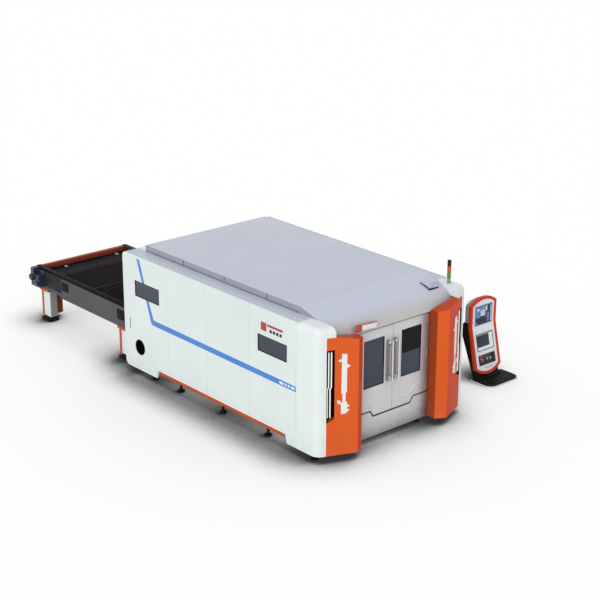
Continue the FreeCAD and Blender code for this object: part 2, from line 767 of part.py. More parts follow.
def rear_portal():
    """The white rear frame: sloped up to the roof, and open for the pallets to pass through."""
    def ring(inset):
        return rectangle(inset, skirt + inset, width - inset, ledge_height - inset)

    body = prism("XZ_Plane", [ring(as_size(0))], portal_front, portal_length)
    add(body, "YZ_Plane", [[
        point(portal_front, ledge_height - wall), point(portal_front + portal_slope, ledge_height - wall),
        point(portal_front + portal_slope, ledge_height), point(portal_front, roof_height),
    ]], ledge_width, width - ledge_width * 2)
    rear = portal_rear.value
    round_edges(body, portal_corner, lambda mid, run: (
        abs(mid.y - rear) < 1 and (mid.z > ledge_height.value - 1 or mid.z < skirt.value + 1)
    ))
    cut(body, "XZ_Plane", [ring(wall)], portal_front - 1, portal_length - portal_corner + 1)
    cut(body, "YZ_Plane", [[
        point(portal_front - 1, ledge_height - wall - 1),
        point(portal_front + portal_slope - wall * 2, ledge_height - wall - 1),
        point(portal_front + portal_slope - wall * 2, ledge_height), point(portal_front - 1, roof_height - wall),
    ]], ledge_width + wall, width - (ledge_width + wall) * 2)
    cut(body, "XZ_Plane", [rectangle(table_left + web, portal_low, table_right - web, portal_high)],
        portal_front, portal_length + 1)
    finish(body, "rear_portal")


# ---------------------------------------------------------------- doors
def kick_panel():
    left = column_inner
    right = width - column_inner
    body = prism("XZ_Plane", [[
        point(left, skirt), point(right, skirt), point(right, step_high),
        point(right - step_out, step_high), point(right - step_in, step_low),
        point(left + step_in, step_low), point(left + step_out, step_high), point(left, step_high),
    ]], door_line, leaf)
    for x in (pivot_x, mirrored_x(pivot_x)):
        cut(body, "XY_Plane", [circle(x, pivot_y, pivot_pin + pivot_play)],
            step_high - pivot_length, pivot_length + 1)
    finish(body, "kick_panel")


frame_jamb = cell("door_jamb", 50, "door jamb behind the column")
lintel_height = cell("lintel_height", 30, "lintel over the doors")
lintel_slope = cell("lintel_chamfer", 20, "chamfer of the lintel under the hood")


def door_frame():
    """Two jambs behind the columns and the lintel that holds the upper pivots."""
    back = door_line + column_depth
    front = lip_y + sheet_wall + 1
    left = column_inner - frame_jamb
    height = lintel_low + lintel_height - skirt
    body = prism("XY_Plane", [rectangle(left, back, column_inner, bed_front)], skirt, height)
    right = mirrored_x(left)
    high = lintel_low + lintel_height
    add(body, "YZ_Plane", [[
        point(front, lintel_low), point(bed_front, lintel_low), point(bed_front, high),
        point(front + lintel_slope, high), point(front, lip_z),
    ]], left, right - left)
    add(body, "XY_Plane", [rectangle(right - frame_jamb, back, right, bed_front)], skirt, height)
    for x in (pivot_x, mirrored_x(pivot_x)):
        cut(body, "XY_Plane", [circle(x, pivot_y, pivot_pin + pivot_play)], lintel_low - 1, pivot_length)
    finish(body, "door_frame")


view_x = leaf_left + view_left


def view_loop(side, margin):
    s = lambda x: sided(side, x)
    return [
        point(s(view_x - margin), view_sill - margin), point(s(view_x + view_width + margin), view_sill - margin),
        point(s(view_x + view_width + margin), view_sill + view_height + margin),
        point(s(view_x - margin), view_sill + view_height + margin),
    ]


def trim_loop(side):
    """Ornamental groove: a high outer run, a slant and a low inner run."""
    s = lambda x: sided(side, x)
    start = view_x + trim_end
    bend = column_inner + step_out - trim_bend
    low_bend = column_inner + step_in + trim_bend / 2
    end = view_x + view_width - trim_end
    shift = trim_width * 0.45
    return [
        point(s(start), trim_high), point(s(start), trim_high - trim_width),
        point(s(bend - shift), trim_high - trim_width), point(s(low_bend - shift), trim_low - trim_width),
        point(s(end), trim_low - trim_width), point(s(end), trim_low),
        point(s(low_bend + shift), trim_low), point(s(bend + shift), trim_high),
    ]


def door(side):
    s = lambda x: sided(side, x)
    low = step_low + door_gap
    high = step_high + door_gap
    body = prism("XZ_Plane", [[
        point(s(leaf_left), high), point(s(column_inner + step_out), high),
        point(s(column_inner + step_in), low), point(s(leaf_right), low),
        point(s(leaf_right), door_top), point(s(leaf_left), door_top),
    ], view_loop(side, 0)], door_line, leaf)
    cut(body, "XZ_Plane", [view_loop(side, view_frame)], door_line + view_frame, leaf)
    cut(body, "XZ_Plane", [trim_loop(side)], door_line - 1, trim_depth + 1)
    add(body, "XY_Plane", [circle(s(pivot_x), pivot_y, pivot_pin)], high - pivot_length + 1, pivot_length)
    add(body, "XY_Plane", [circle(s(pivot_x), pivot_y, pivot_pin)], door_top - 1, pivot_length)
    finish(body, f"door_{side}")

    left = view_x - view_frame if side == "left" else mirrored_x(view_x + view_width + view_frame)
    pane = block(left, door_line + view_frame, view_sill - view_frame,
                 view_width + view_frame * 2, glass, view_height + view_frame * 2)
    finish(group([pane]), f"door_{side}_glass")

    x = s(middle - grip_place)
    y = door_line - grip_reach
    bar = cylinder(x, y, grip_low, grip_radius, grip_length)
    inset = grip_length / 10
    posts = [
        cylinder(x, y, height, grip_radius * 0.7, grip_reach, "Y")
        for height in (grip_low + inset, grip_low + grip_length - inset)
    ]
    finish(fused([bar] + posts), f"door_{side}_handle")


# ---------------------------------------------------------------- bed
bed_inset = cell("bed_inset", 5, "bed beam's inner face beyond the table's outer face")
bed_left = table_left + bed_inset - bed_beam
bed_rear_gap = cell("bed_rear_gap", 290, "portal to the bed's rear end")
bed_rear = portal_front - bed_rear_gap
sill_width = cell("sill_width", 40, "orange sill behind the side panels")
bed_middle = (bed_front + bed_rear - bed_cross) / 2
cross_places = [bed_front, bed_middle, bed_rear - bed_cross]


def bed_frame():
    """Two deep hollow side beams, three cross tubes and the sills under the side panels."""
    pieces = []
    for x in (bed_left, across_table(bed_left + bed_beam)):
        length = bed_rear - bed_front
        outer = block(x, bed_front, bed_low, bed_beam, length, bed_top - bed_low)
        inner = block(x + bed_wall, bed_front + bed_wall, bed_low + bed_wall,
                      bed_beam - bed_wall * 2, length - bed_wall * 2, bed_top - bed_low - bed_wall * 2)
        pieces.append(minus(outer, inner))
    for y in cross_places:
        pieces.append(block(wall, y, bed_low, width - wall * 2, bed_cross, cross_height))
    for x in (wall, width - wall - sill_width):
        pieces.append(block(x, bed_front, bed_low, sill_width, bed_rear - bed_front, cross_height))
    finish(fused(pieces), "bed_frame")


def bed_feet():
    left = bed_left + bed_beam / 2
    rows = [bed_front + bed_cross / 2, foot_first, foot_first + foot_pitch, foot_first + foot_pitch * 2]
    rows += [bed_rear - bed_cross / 2]
    places = [(x, y) for y in rows for x in (left, across_table(left))]
    places += [(width - wall - foot_radius * 2, y + bed_cross / 2) for y in cross_places]
    feet = []
    for x, y in places:
        pad = cylinder(x, y, 0, foot_radius, foot_pad)
        stem = cylinder(x, y, foot_pad, stem_radius, bed_low - foot_pad)
        feet.append(fused([pad, stem]))
    return feet


# ---------------------------------------------------------------- gantry
rail_x = bed_left + (bed_beam - rail_width) / 2
block_low = bed_top + rail_height + block_play
beam_low = block_low + block_height
gantry_left = bed_left
gantry_length = across_table(bed_left) - bed_left
rail_heights = (beam_low + rail_width, beam_low + beam_height - rail_width * 2)
plate_y = gantry_place - rail_height - block_play - block_height
carriage_x = gantry_left + carriage_place
carriage_low = beam_low - carriage_plate
carriage_high = beam_low + beam_height + carriage_plate * 2
guide_width = cell("head_guide_width", 40, "vertical guide on the carriage")
guide_depth = cell("head_guide_depth", 22, "vertical guide, depth")
slide_wall = cell("head_slide_wall", 24, "wall of the head slide round its guide")
slide_low = cell("head_slide_place", 1190, "floor to the head slide, head raised")


def gantry_rails():
    rails = [
        block(x, rail_start, bed_top, rail_width, rail_end - rail_start, rail_height)
        for x in (rail_x, across_table(rail_x + rail_width))
    ]
    finish(group(rails), "gantry_rails")


def gantry_beam():
    """Hollow beam with its bearing blocks below and the carriage's rails in front."""
    outer = block(gantry_left, gantry_place, beam_low, gantry_length, beam_length, beam_height)
    inner = block(gantry_left + gantry_wall, gantry_place + gantry_wall, beam_low + gantry_wall,
                  gantry_length - gantry_wall * 2, beam_length - gantry_wall * 2,
                  beam_height - gantry_wall * 2)
    pieces = [minus(outer, inner)]
    for x in (rail_x, across_table(rail_x + rail_width)):
        for y in (gantry_place, gantry_place + beam_length - block_length):
            pieces.append(block(x - rail_width / 2, y, block_low, rail_width * 2, block_length, block_height + 1))
    for z in rail_heights:
        pieces.append(block(gantry_left + rail_width, gantry_place - rail_height, z,
                            gantry_length - rail_width * 2, rail_height + 1, rail_width))
    finish(fused(pieces), "gantry_beam")


def gantry_motors():
    motors = []
    top = beam_low + beam_height
    for x in (gantry_left, across_table(gantry_left + motor_side)):
        body = block(x, gantry_place + gantry_wall, top, motor_side, motor_side, motor_length)
        cap = cylinder(x + motor_side / 2, gantry_place + gantry_wall + motor_side / 2,
                       top + motor_length, motor_side * 0.4, motor_side / 3)
        motors.append(fused([body, cap]))
    finish(group(motors), "gantry_motors")


def carriage():
    """Plate on four bearing blocks, with a vertical guide for the head in front."""
    plate_front = plate_y - carriage_plate
    pieces = [block(carriage_x, plate_front, carriage_low, carriage_width, carriage_plate,
                    carriage_high - carriage_low)]
    for x in (carriage_x, carriage_x + carriage_width - block_length * 0.8):
        for z in rail_heights:
            pieces.append(block(x, plate_y - 1, z - rail_width / 4, block_length * 0.8,
                                block_height + 1, rail_width * 1.5))
    pieces.append(block(carriage_x + (carriage_width - guide_width) / 2, plate_front - guide_depth,
                        carriage_low, guide_width, guide_depth + 1, carriage_high - carriage_low))
    finish(fused(pieces), "carriage")


head_x = carriage_x + carriage_width / 2
slide_back = plate_y - carriage_plate - block_play
slide_front = slide_back - guide_depth - slide_wall
head_y = slide_front - head_radius


def head_slide():
    """The slide wraps its guide on three sides."""
    half = slide_width / 2
    groove = guide_width / 2 + block_play
    floor = slide_back - guide_depth
    body = prism("XY_Plane", [[
        point(head_x - half, slide_front), point(head_x + half, slide_front),
        point(head_x + half, slide_back), point(head_x + groove, slide_back),
        point(head_x + groove, floor), point(head_x - groove, floor),
        point(head_x - groove, slide_back), point(head_x - half, slide_back),
    ]], slide_low, slide_length)
    finish(body, "head_slide")


def cutting_head():
    """Barrel, focusing cone and nozzle, turned about one axis."""
    cone_top = nozzle_tip + nozzle_radius * 3 + head_radius * 1.5
    nozzle_top = nozzle_tip + nozzle_radius * 3
    body = document.addObject("PartDesign::Body", "Body")
    turning = body.newObject("PartDesign::Revolution", "Turning")
    profile = outline(body, "XZ_Plane", [[
        point(head_x, nozzle_tip), point(head_x + nozzle_radius * 0.3, nozzle_tip),
        point(head_x + nozzle_radius, nozzle_tip + nozzle_radius * 1.6),
        point(head_x + nozzle_radius, nozzle_top), point(head_x + nozzle_radius * 1.6, nozzle_top),
        point(head_x + head_radius, cone_top), point(head_x + head_radius, slide_low + slide_length * 0.7),
        point(head_x + head_radius * 0.7, slide_low + slide_length * 0.7),
        point(head_x + head_radius * 0.7, slide_low + slide_length * 1.05),
        point(head_x, slide_low + slide_length * 1.05),
    ]], head_y)
    count = profile.GeometryCount
    turning.Profile = profile
    turning.ReferenceAxis = (profile, [f"Edge{count}"])
    turning.Angle = 360
    finish(body, "cutting_head")


# ---------------------------------------------------------------- exchange table
chain_play = cell("chain_play", 0.3, "chain to its sprocket and to the pallets' lugs")
bearing_wall = cell("bearing_depth", 14, "flange bearing, depth along its shaft")
bearing_side = cell("bearing_side", 80, "flange bearing, side")
bearing_play = cell("bearing_play", 0.05, "radial play of the shaft bearings")
chain_in = cell("chain_place", 25, "table's outer face to the drive chain")
track_start = cell("track_start", 60, "front idler shaft to the pallet rails")
track_stop = cell("track_stop", 50, "drive shaft to the end of the pallet rails")
spacer_length = cell("spacer_length", 90, "pallet rail bracket, along the rail")
spacer_height = cell("spacer_height", 80, "pallet rail bracket, height")
end_beam = cell("end_beam_length", 80, "table's end beam, front to back")
end_band = cell("end_beam_height", 165, "table's end beam, height of its box")
front_beam = cell("front_beam_length", 60, "table's front beam, front to back")
front_high = cell("front_beam_height", 78, "table's front beam, middle height")
front_low = cell("front_beam_ends", 14, "table's front beam, height at its notched ends")
buffer_radius = cell("buffer_radius", 18, "rubber buffer radius")
buffer_first = cell("first_buffers", 552, "table's left face to the first pair of buffers")
buffer_second = cell("second_buffers", 265, "second pair of buffers to the table's right face")
buffer_pitch = cell("buffer_pitch", 74, "height between the two buffers of a pair")
buffer_pad = cell("buffer_pad", 60, "side of the pads behind the lower buffers")
buffer_length = cell("buffer_length", 42, "rubber buffer length")
gear_width = cell("gear_width", 129, "gear case along the shaft")
gear_side = cell("gear_side", 250, "gear case along the table")
gear_height = cell("gear_height", 222, "height of the gear case")
gear_drop = cell("gear_drop", 59, "drive shaft to the underside of the gear case")
gear_crown = cell("gear_crown", 106, "height of the housing on the gear case")
gear_crown_run = cell("gear_crown_run", 90, "housing on the gear case, along the table")
gear_motor_length = cell("gear_motor_length", 44, "table's drive motor beyond its gear case")
gear_motor_radius = cell("gear_motor_radius", 58, "table's drive motor radius")
gear_cap_radius = cell("gear_cap_radius", 44, "round cover on the gear case, radius")
sprocket_in = cell("sprocket_inset", 2, "sprocket's face inside its chain's face")
hub_length = cell("hub_length", 10, "sprocket hub beyond the sprocket")
leg_place = cell("leg_place", 35, "table's outer face to its legs")

table_low = table_top - table_depth
low_end = table_low + table_rise
buffer_places = (table_left + buffer_first, table_right - buffer_second)
shaft_y = table_rear - shaft_rear
rail_left = table_left + track_in
rail_front = idler_place + track_start
rail_back = shaft_y - track_stop
rail_low = track_top - tier - track_wall
chain_z = (track_top + rail_low) / 2
chain_x = table_left + chain_in


def table_beams():
    """Two channels, flanges inwards, stepped up at the rear; the left one lets the drive shaft through."""
    low = table_low
    beams = []
    for left in (True, False):
        place = lambda x: x if left else across_table(x)
        beam = prism("XZ_Plane", [[
            point(place(table_left), low), point(place(table_left + flange), low),
            point(place(table_left + flange), low + web), point(place(table_left + web), low + web),
            point(place(table_left + web), table_top - web), point(place(table_left + flange), table_top - web),
            point(place(table_left + flange), table_top), point(place(table_left), table_top),
        ]], portal_rear, table_length)
        cut(beam, "YZ_Plane", [rectangle(table_rear - table_step, low - 1, table_rear + 1, low_end)],
            (table_left if left else across_table(table_left + flange)) - 1, flange + 2)
        if left:
            cut(beam, "YZ_Plane", [circle(shaft_y, chain_z, shaft_radius * 1.2)], table_left - 1, web + 2)
        beams.append(beam)
    finish(group(beams), "table_beams")


def table_crossbeams():
    """The end beam, and the front beam notched at its ends for the lower pallet's lugs."""
    left = table_left + web
    right = table_right - web
    low = table_low + web
    high = table_top - web
    notch = rail_left + track_width + pallet_tube
    end = prism("YZ_Plane", [[
        point(table_rear - web, low_end), point(table_rear, low_end), point(table_rear, high),
        point(table_rear - end_beam, high), point(table_rear - end_beam, high - end_band),
        point(table_rear - web, high - end_band),
    ]], left, right - left)
    stops = [
        block(x - buffer_pad / 2, table_rear - end_beam, high - end_band - buffer_pad,
              buffer_pad, end_beam - web, buffer_pad)
        for x in buffer_places
    ]
    front = prism("XZ_Plane", [[
        point(left, low), point(right, low), point(right, low + front_low),
        point(across_table(notch), low + front_low), point(across_table(notch), low + front_high),
        point(notch, low + front_high), point(notch, low + front_low), point(left, low + front_low),
    ]], portal_rear, front_beam)
    finish(group([end, front] + stops), "table_crossbeams")


def buffers():
    """Two pairs, one above the other, on the end beam and on the pads below it."""
    pieces = []
    for x in buffer_places:
        for z in (track_top + pallet_height, track_top + pallet_height - buffer_pitch):
            y = table_rear - end_beam - buffer_length
            pieces.append(cylinder(x, y, z, buffer_radius, buffer_length, "Y"))
    finish(group(pieces), "buffers")


def table_legs():
    """Legs with a white cover in front, an orange back, brace and cap, and a black chamfered foot."""
    orange = []
    covers = []
    feet = []
    for middle_y, top in ((portal_rear + leg_front, table_low), (table_rear - leg_rear, low_end)):
        back = middle_y + leg_length / 2
        front = middle_y - leg_length / 2
        under = top - leg_cap
        for left in (True, False):
            def upright(start, length, y, depth, low, high):
                x = table_left + start if left else table_right - start - length
                return block(x, y, low, length, depth, high - low)

            orange += [
                upright(leg_place, leg_width + leg_reach, back - leg_back, leg_back, leg_clear, under),
                upright(leg_place + leg_width, leg_reach, back - leg_back - leg_brace, leg_brace, shoe, under),
                upright(as_size(0), cap_reach, front, leg_length, under, top),
            ]
            covers.append(upright(leg_place, leg_width, front, leg_length - leg_back, shoe, under))
            x = table_left + leg_place if left else table_right - leg_place - leg_width
            foot = prism("XZ_Plane", [[
                point(x - shoe_margin, 0), point(x + leg_width + shoe_margin, 0),
                point(x + leg_width + shoe_margin, shoe_edge), point(x + leg_width, shoe),
                point(x, shoe), point(x - shoe_margin, shoe_edge),
            ]], front, leg_length)
            cut(foot, "YZ_Plane", [rectangle(back - leg_back, leg_clear, back + 1, shoe + 1)],
                x - shoe_margin - 1, leg_width + shoe_margin * 2 + 2)
            feet.append(foot)
    finish(group(orange), "table_legs")
    finish(group(covers), "leg_covers")
    return feet


def pallet_rails():
    """Each rail is a web plate with an upper and a lower flange bar, held by brackets."""
    pieces = []
    reach = track_width - track_web
    height = track_top - rail_low
    low = chain_z - spacer_height / 2
    count = 4
    bed_step = (bed_rear - rail_front - spacer_length * 3) / (count - 1)
    table_step = (rail_back - portal_rear - spacer_length * 3) / (count - 1)
    for left in (True, False):
        side = lambda start, wide: start if left else across_table(start + wide)
        length = rail_back - rail_front
        pieces.append(block(side(rail_left, track_web), rail_front, rail_low, track_web, length, height))
        flange_x = side(rail_left + track_web, reach)
        for z in (rail_low, track_top - track_wall):
            pieces.append(block(flange_x, rail_front, z, reach, length, track_wall))
        for beam, start, step in ((bed_left + bed_beam, rail_front, bed_step),
                                  (table_left + web, portal_rear, table_step)):
            gap = rail_left - beam
            for k in range(count):
                y = start + spacer_length + step * k
                pieces.append(block(side(beam, gap), y, low, gap, spacer_length, spacer_height))
    finish(group(pieces), "pallet_rails")


def chains():
    """Each chain as two straight strands and the half rounds over its sprockets."""
    inner = sprocket + chain_play
    outer = inner + chain_wall
    pieces = []
    for x in (chain_x, across_table(chain_x + chain_width)):
        for z in (chain_z + inner, chain_z - outer):
            pieces.append(block(x, idler_place, z, chain_width, shaft_y - idler_place, chain_wall))
        for y, kept_from in ((idler_place, idler_place), (shaft_y, shaft_y - outer * 2)):
            ring = minus(cylinder(x, y, chain_z, outer, chain_width, "X"),
                         cylinder(x - 1, y, chain_z, inner, chain_width + 2, "X"))
            other_half = block(x - 1, kept_from, chain_z - outer * 2, chain_width + 2, outer * 2, outer * 4)
            pieces.append(minus(ring, other_half))
    finish(group(pieces), "chains")


def shaft(name, y, start, end):
    """A cross shaft with its two chain sprockets, keyed together."""
    disc = chain_width - sprocket_in * 2
    hub = disc + hub_length
    pieces = [cylinder(start, y, chain_z, shaft_radius, end - start, "X")]
    left = chain_x + sprocket_in
    for wheel_x, hub_x in ((left, left), (across_table(left + disc), across_table(left + hub))):
        pieces.append(cylinder(wheel_x, y, chain_z, sprocket, disc, "X"))
        pieces.append(cylinder(hub_x, y, chain_z, shaft_radius * 1.7, hub, "X"))
    finish(fused(pieces), name)


def shaft_bearings():
    """Square flange bearings on the bed's and the table's side beams."""
    pieces = []
    for y, start in ((idler_place, bed_left + bed_beam), (shaft_y, table_left + web)):
        for x in (start, across_table(start + bearing_wall)):
            housing = block(x, y - bearing_side / 2, chain_z - bearing_side / 2,
                            bearing_wall, bearing_side, bearing_side)
            bore = cylinder(x - 1, y, chain_z, shaft_radius + bearing_play, bearing_wall + 2, "X")
            pieces.append(minus(housing, bore))
    finish(group(pieces), "shaft_bearings")


def gear_motor():
    """Gear case and its housing on the outside of the left beam, with a motor and a round cover."""
    low = chain_z - gear_drop
    rear = shaft_y + gear_side / 2
    face = table_left - gear_width
    case = block(face, rear - gear_side, low, gear_width, gear_side, gear_height)
    crown = block(face, rear - gear_crown_run, low + gear_height, gear_width, gear_crown_run, gear_crown)
    motor = cylinder(face - gear_motor_length, rear - gear_motor_radius, low + gear_height - gear_motor_radius,
                     gear_motor_radius, gear_motor_length, "X")
    cover = cylinder(face - gear_motor_length * 0.7, rear - gear_side + gear_cap_radius * 1.4,
                     chain_z, gear_cap_radius, gear_motor_length * 0.7, "X")
    finish(group([case, crown, motor, cover]), "gear_motor")


# ---------------------------------------------------------------- pallets
pallet_length = table_length - end_beam - pallet_end - pallet_place
wheel_play = cell("wheel_play", 0.3, "running clearance of the pallet wheels")
axle_radius = cell("axle_radius", 11, "pallet axle radius")
axle_play = cell("axle_play", 0.3, "radial play of the pallet axles")
axle_place = cell("axle_place", 260, "pallet's end to its axle")
pallet_clear = cell("pallet_clearance", 25, "rolling face to the underside of the pallet frame")
ledge_low = cell("slat_ledge", 20, "pallet frame's underside to the slat ledge")
ledge_wide = cell("slat_ledge_width", 15, "slat ledge width")
side_play = cell("pallet_side_gap", 5, "pallet rail to the pallet frame")
lug_length = cell("lug_length", 60, "chain lug, along the chain")
lug_height = cell("lug_height", 14, "chain lug, thickness")
pallet_left = rail_left + track_width + side_play
pallet_right = across_table(pallet_left)
slat_left = pallet_left + pallet_tube
axle_height = track_top + wheel_radius + wheel_play
frame_low = track_top + pallet_clear
ledge_z = frame_low + ledge_low
slat_run = pallet_length - pallet_tube * 2 - end_plate
slat_pitch = slat_run / slat_count


def pallet_frame(name, y, down, lug):
    """Ladder frame of a pallet, with slat ledges, an end plate and the lugs of its chains."""
    low = frame_low - down
    length = pallet_length
    pieces = []
    for x in (pallet_left, pallet_right - pallet_tube):
        pieces.append(block(x, y, low, pallet_tube, length, pallet_height))
    for x in (slat_left, across_table(slat_left + ledge_wide)):
        pieces.append(block(x, y, low, ledge_wide, length, ledge_low))
    inner = pallet_right - pallet_left - pallet_tube * 2
    for offset in (as_size(0), length - pallet_tube):
        pieces.append(block(slat_left, y + offset, low, inner, pallet_tube, pallet_height))
    for share in (0.12, 0.5, 0.88):
        pieces.append(block(slat_left, y + length * share - pallet_tube / 2, low, inner, pallet_tube, ledge_low))
    pieces.append(block(slat_left, y + length - pallet_tube - end_plate, low + pallet_height - web,
                        inner, end_plate, web))
    for x in (slat_left, across_table(slat_left + ledge_wide)):
        pieces.append(block(x, y + length - pallet_tube - end_plate, low, ledge_wide, end_plate, pallet_height))
    middle_y = y + (length - lug_length) / 2
    reach = pallet_left - chain_x
    if lug == "over":
        z = chain_z + sprocket + chain_play * 2 + chain_wall
        for x in (chain_x, pallet_right):
            pieces.append(block(x, middle_y, z, reach, lug_length, lug_height))
    else:
        z = chain_z - sprocket - chain_play * 2 - chain_wall - lug_height
        for x in (chain_x, pallet_right - lug_height):
            pieces.append(block(x, middle_y, z, reach + lug_height, lug_length, lug_height))
        for x in (pallet_left, pallet_right - lug_height):
            pieces.append(block(x, middle_y, z, lug_height, lug_length, low - z + 1))
    bores = [
        cylinder(pallet_left - 1, y + place, axle_height - down, axle_radius + axle_play,
                 pallet_right - pallet_left + 2, "X")
        for place in (axle_place, length - axle_place)
    ]
    finish(minus(fused(pieces), fused(bores)), name)


def slats(name, y, down):
    """Serrated slats standing across the pallet on its ledges."""
    low = ledge_z.value - down
    length = (pallet_right - pallet_left - pallet_tube * 2).value
    left = slat_left.value
    pitch = slat_pitch.value
    tooth = length / tooth_count
    corners = [FreeCAD.Vector(0, 0, 0), FreeCAD.Vector(length, 0, 0)]
    for k in range(tooth_count):
        right_foot = length - tooth * k
        corners.append(FreeCAD.Vector(right_foot, 0, slat_height.value - slat_tooth.value))
        corners.append(FreeCAD.Vector(right_foot - tooth / 2, 0, slat_height.value))
    corners.append(FreeCAD.Vector(0, 0, slat_height.value - slat_tooth.value))
    one = Part.Face(Part.makePolygon(corners + [corners[0]])).extrude(FreeCAD.Vector(0, slat_wall.value, 0))
    copies = []
    for k in range(slat_count):
        copy = one.copy()
        place = y.value + pallet_tube.value + pitch * (k + 0.5) - slat_wall.value / 2
        copy.translate(FreeCAD.Vector(left, place, low))
        copies.append(copy)
    row = document.addObject("Part::Feature", "Slats")
    row.Shape = Part.makeCompound(copies)
    finish(row, name)


def wheelsets(name, y, down):
    """One axle across the pallet with a wheel on each end."""
    wheel_x = pallet_left - wheel_gap - wheel_width
    axle_x = wheel_x + wheel_width
    height = axle_height - down
    pieces = [cylinder(axle_x, y, height, axle_radius, across_table(axle_x) - axle_x, "X")]
    for x in (wheel_x, across_table(axle_x)):
        pieces.append(cylinder(x, y, height, wheel_radius, wheel_width, "X"))
    finish(group(pieces), name)


# ---------------------------------------------------------------- console
lean_foot = cell("lean_foot", 60, "floor to the foot of the face's line")
lean_slope = console_lean / (console_bend - lean_foot)
lean_length = root(lean_slope * lean_slope + 1)
lean_out = as_size(1) / lean_length
lean_up = lean_slope / lean_length
console_right = console_left + console_width
deck_top = plinth + deck_wall


def on_lean(height, out):
    """Point of the leaning lower face, moved out of it along its normal, as (Y, Z)."""
    y = console_line - (console_bend - height) * lean_slope - lean_out * out
    return y, height + lean_up * out


def bent(front, depth):
    """Folded slab: upright above the bend, leaning forward below it."""
    back = front + depth
    foot = console_low - lean_foot
    front_bend = console_bend - front * (lean_length - 1) / lean_slope
    back_bend = console_bend - back * (lean_length - 1) / lean_slope
    return prism("YZ_Plane", [[
        point(console_line + front, front_bend), point(*on_lean(foot, -front)),
        point(*on_lean(foot, -back)), point(console_line + back, back_bend),
        point(console_line + back, console_high + 1), point(console_line + front, console_high + 1),
    ]], console_left, console_width)


def arched(margin):
    """The console's outline seen from the front, this far inside its edge."""
    half = console_width / 2
    radius = (half * half + console_crown * console_crown) / (console_crown * 2)
    inner = radius - margin
    reach = half - margin
    rise = root(inner * inner - reach * reach)
    left = console_left + margin
    right = console_right - margin
    low = console_low + radius - rise
    high = console_high - radius + rise
    return [point(left, low), arc(right, low, inner, 1), point(right, high), arc(left, high, inner, 1)]


def common(base, tool):
    shared = document.addObject("Part::Common", "Shared")
    shared.Base = base
    shared.Tool = tool
    return shared


def console_frame():
    ring = prism("XZ_Plane", [arched(as_size(0)), arched(frame_ring)],
                 console_line - console_lean - frame_depth * 2, console_lean + frame_depth * 4)
    finish(common(bent(as_size(0), frame_depth), ring), "console_frame")


keys_x = console_left + screen_left


def button(x, z, radius, out, depth):
    """A round button square to the leaning face, from depth behind it to out before it."""
    y, height = on_lean(z, -depth)
    bar = document.addObject("Part::Cylinder", "Bar")
    bind(bar, "Radius", radius)
    bind(bar, "Height", depth + out)
    turn = math.degrees(math.atan(1 / lean_slope.value))
    bar.Placement = FreeCAD.Placement(FreeCAD.Vector(), FreeCAD.Rotation(FreeCAD.Vector(1, 0, 0), turn))
    bar.setExpression("Placement.Rotation.Angle", f"atan(1 / {lean_slope.text})")
    for axis, size in (("x", x), ("y", y), ("z", height)):
        bind(bar, f"Placement.Base.{axis}", size)
    return bar


def leaning_plate(left, length, low, height, front, back):
    """A flat plate on the leaning face, between two depths measured from it."""
    corners = [on_lean(low, front), on_lean(low, back), on_lean(low + height, back), on_lean(low + height, front)]
    return prism("YZ_Plane", [[point(*corner) for corner in corners]], left, length)


button_row = keypad_low + keypad_height / 2
stop_place = cell("stop_place", 57, "screen's side to the emergency stop")
start_place = cell("start_place", 190, "screen's side to the start button")
button_pitch = cell("button_pitch", 70, "pitch of the push buttons")
stop_x = keys_x + stop_place
start_x = keys_x + start_place
halt_x = start_x + button_pitch
button_sink = cell("button_sink", 11, "push button below its panel")
stop_head = cell("stop_head", 18, "emergency stop cap, height")


def console_fascia():
    depth = frame_depth / 2
    face = prism("XZ_Plane", [arched(frame_ring)],
                 console_line - console_lean - frame_depth * 2, console_lean + frame_depth * 4)
    sheet_shape = common(bent(inlay, depth), face)
    finish(sheet_shape, "console_fascia")


def console_screens():
    upper = block(keys_x, console_line + inlay - plate, screen_low, screen_width, plate, screen_height)
    lower = leaning_plate(keys_x, screen_width, monitor_low, monitor_height, plate - inlay, -inlay)
    finish(group([upper, lower]), "console_screens")


def console_keypad():
    panel = leaning_plate(keys_x, screen_width, keypad_low, keypad_height, plate - inlay, -inlay)
    holes = [button(x, button_row, button_radius + button_play, plate + 1, inlay + 1)
             for x in (stop_x, start_x, halt_x)]
    finish(minus(panel, fused(holes)), "console_keypad")


def console_post():
    y, z = on_lean(console_low, -frame_depth)
    back = console_line + frame_depth
    back_bend = console_bend - frame_depth * (lean_length - 1) / lean_slope
    deck_back = deck_front + deck_length
    side = post_inset
    body = prism("YZ_Plane", [[
        point(deck_back - post_foot, deck_top), point(deck_back, deck_top),
        point(deck_back + post_lean, deck_top + post_height), point(back + shell_depth, shell_low),
        point(back, shell_low), point(back, back_bend), point(y, z), point(deck_back - post_foot, z - wall),
    ]], console_left + side, console_width - side * 2)
    finish(body, "console_post")


def console_shell():
    half = console_width / 2 - frame_ring / 2
    crown = console_crown * 0.8
    radius = (half * half + crown * crown) / (crown * 2)
    left = console_left + frame_ring / 2
    right = console_right - frame_ring / 2
    high = console_high - frame_ring - crown
    body = prism("XZ_Plane", [[
        point(left, shell_low), point(right, shell_low), point(right, high), arc(left, high, radius, 1),
    ]], console_line + frame_depth, shell_depth)
    back = (console_line + frame_depth + shell_depth).value
    round_edges(body, frame_ring / 2, lambda mid, run: abs(mid.y - back) < 1)
    finish(body, "console_shell")


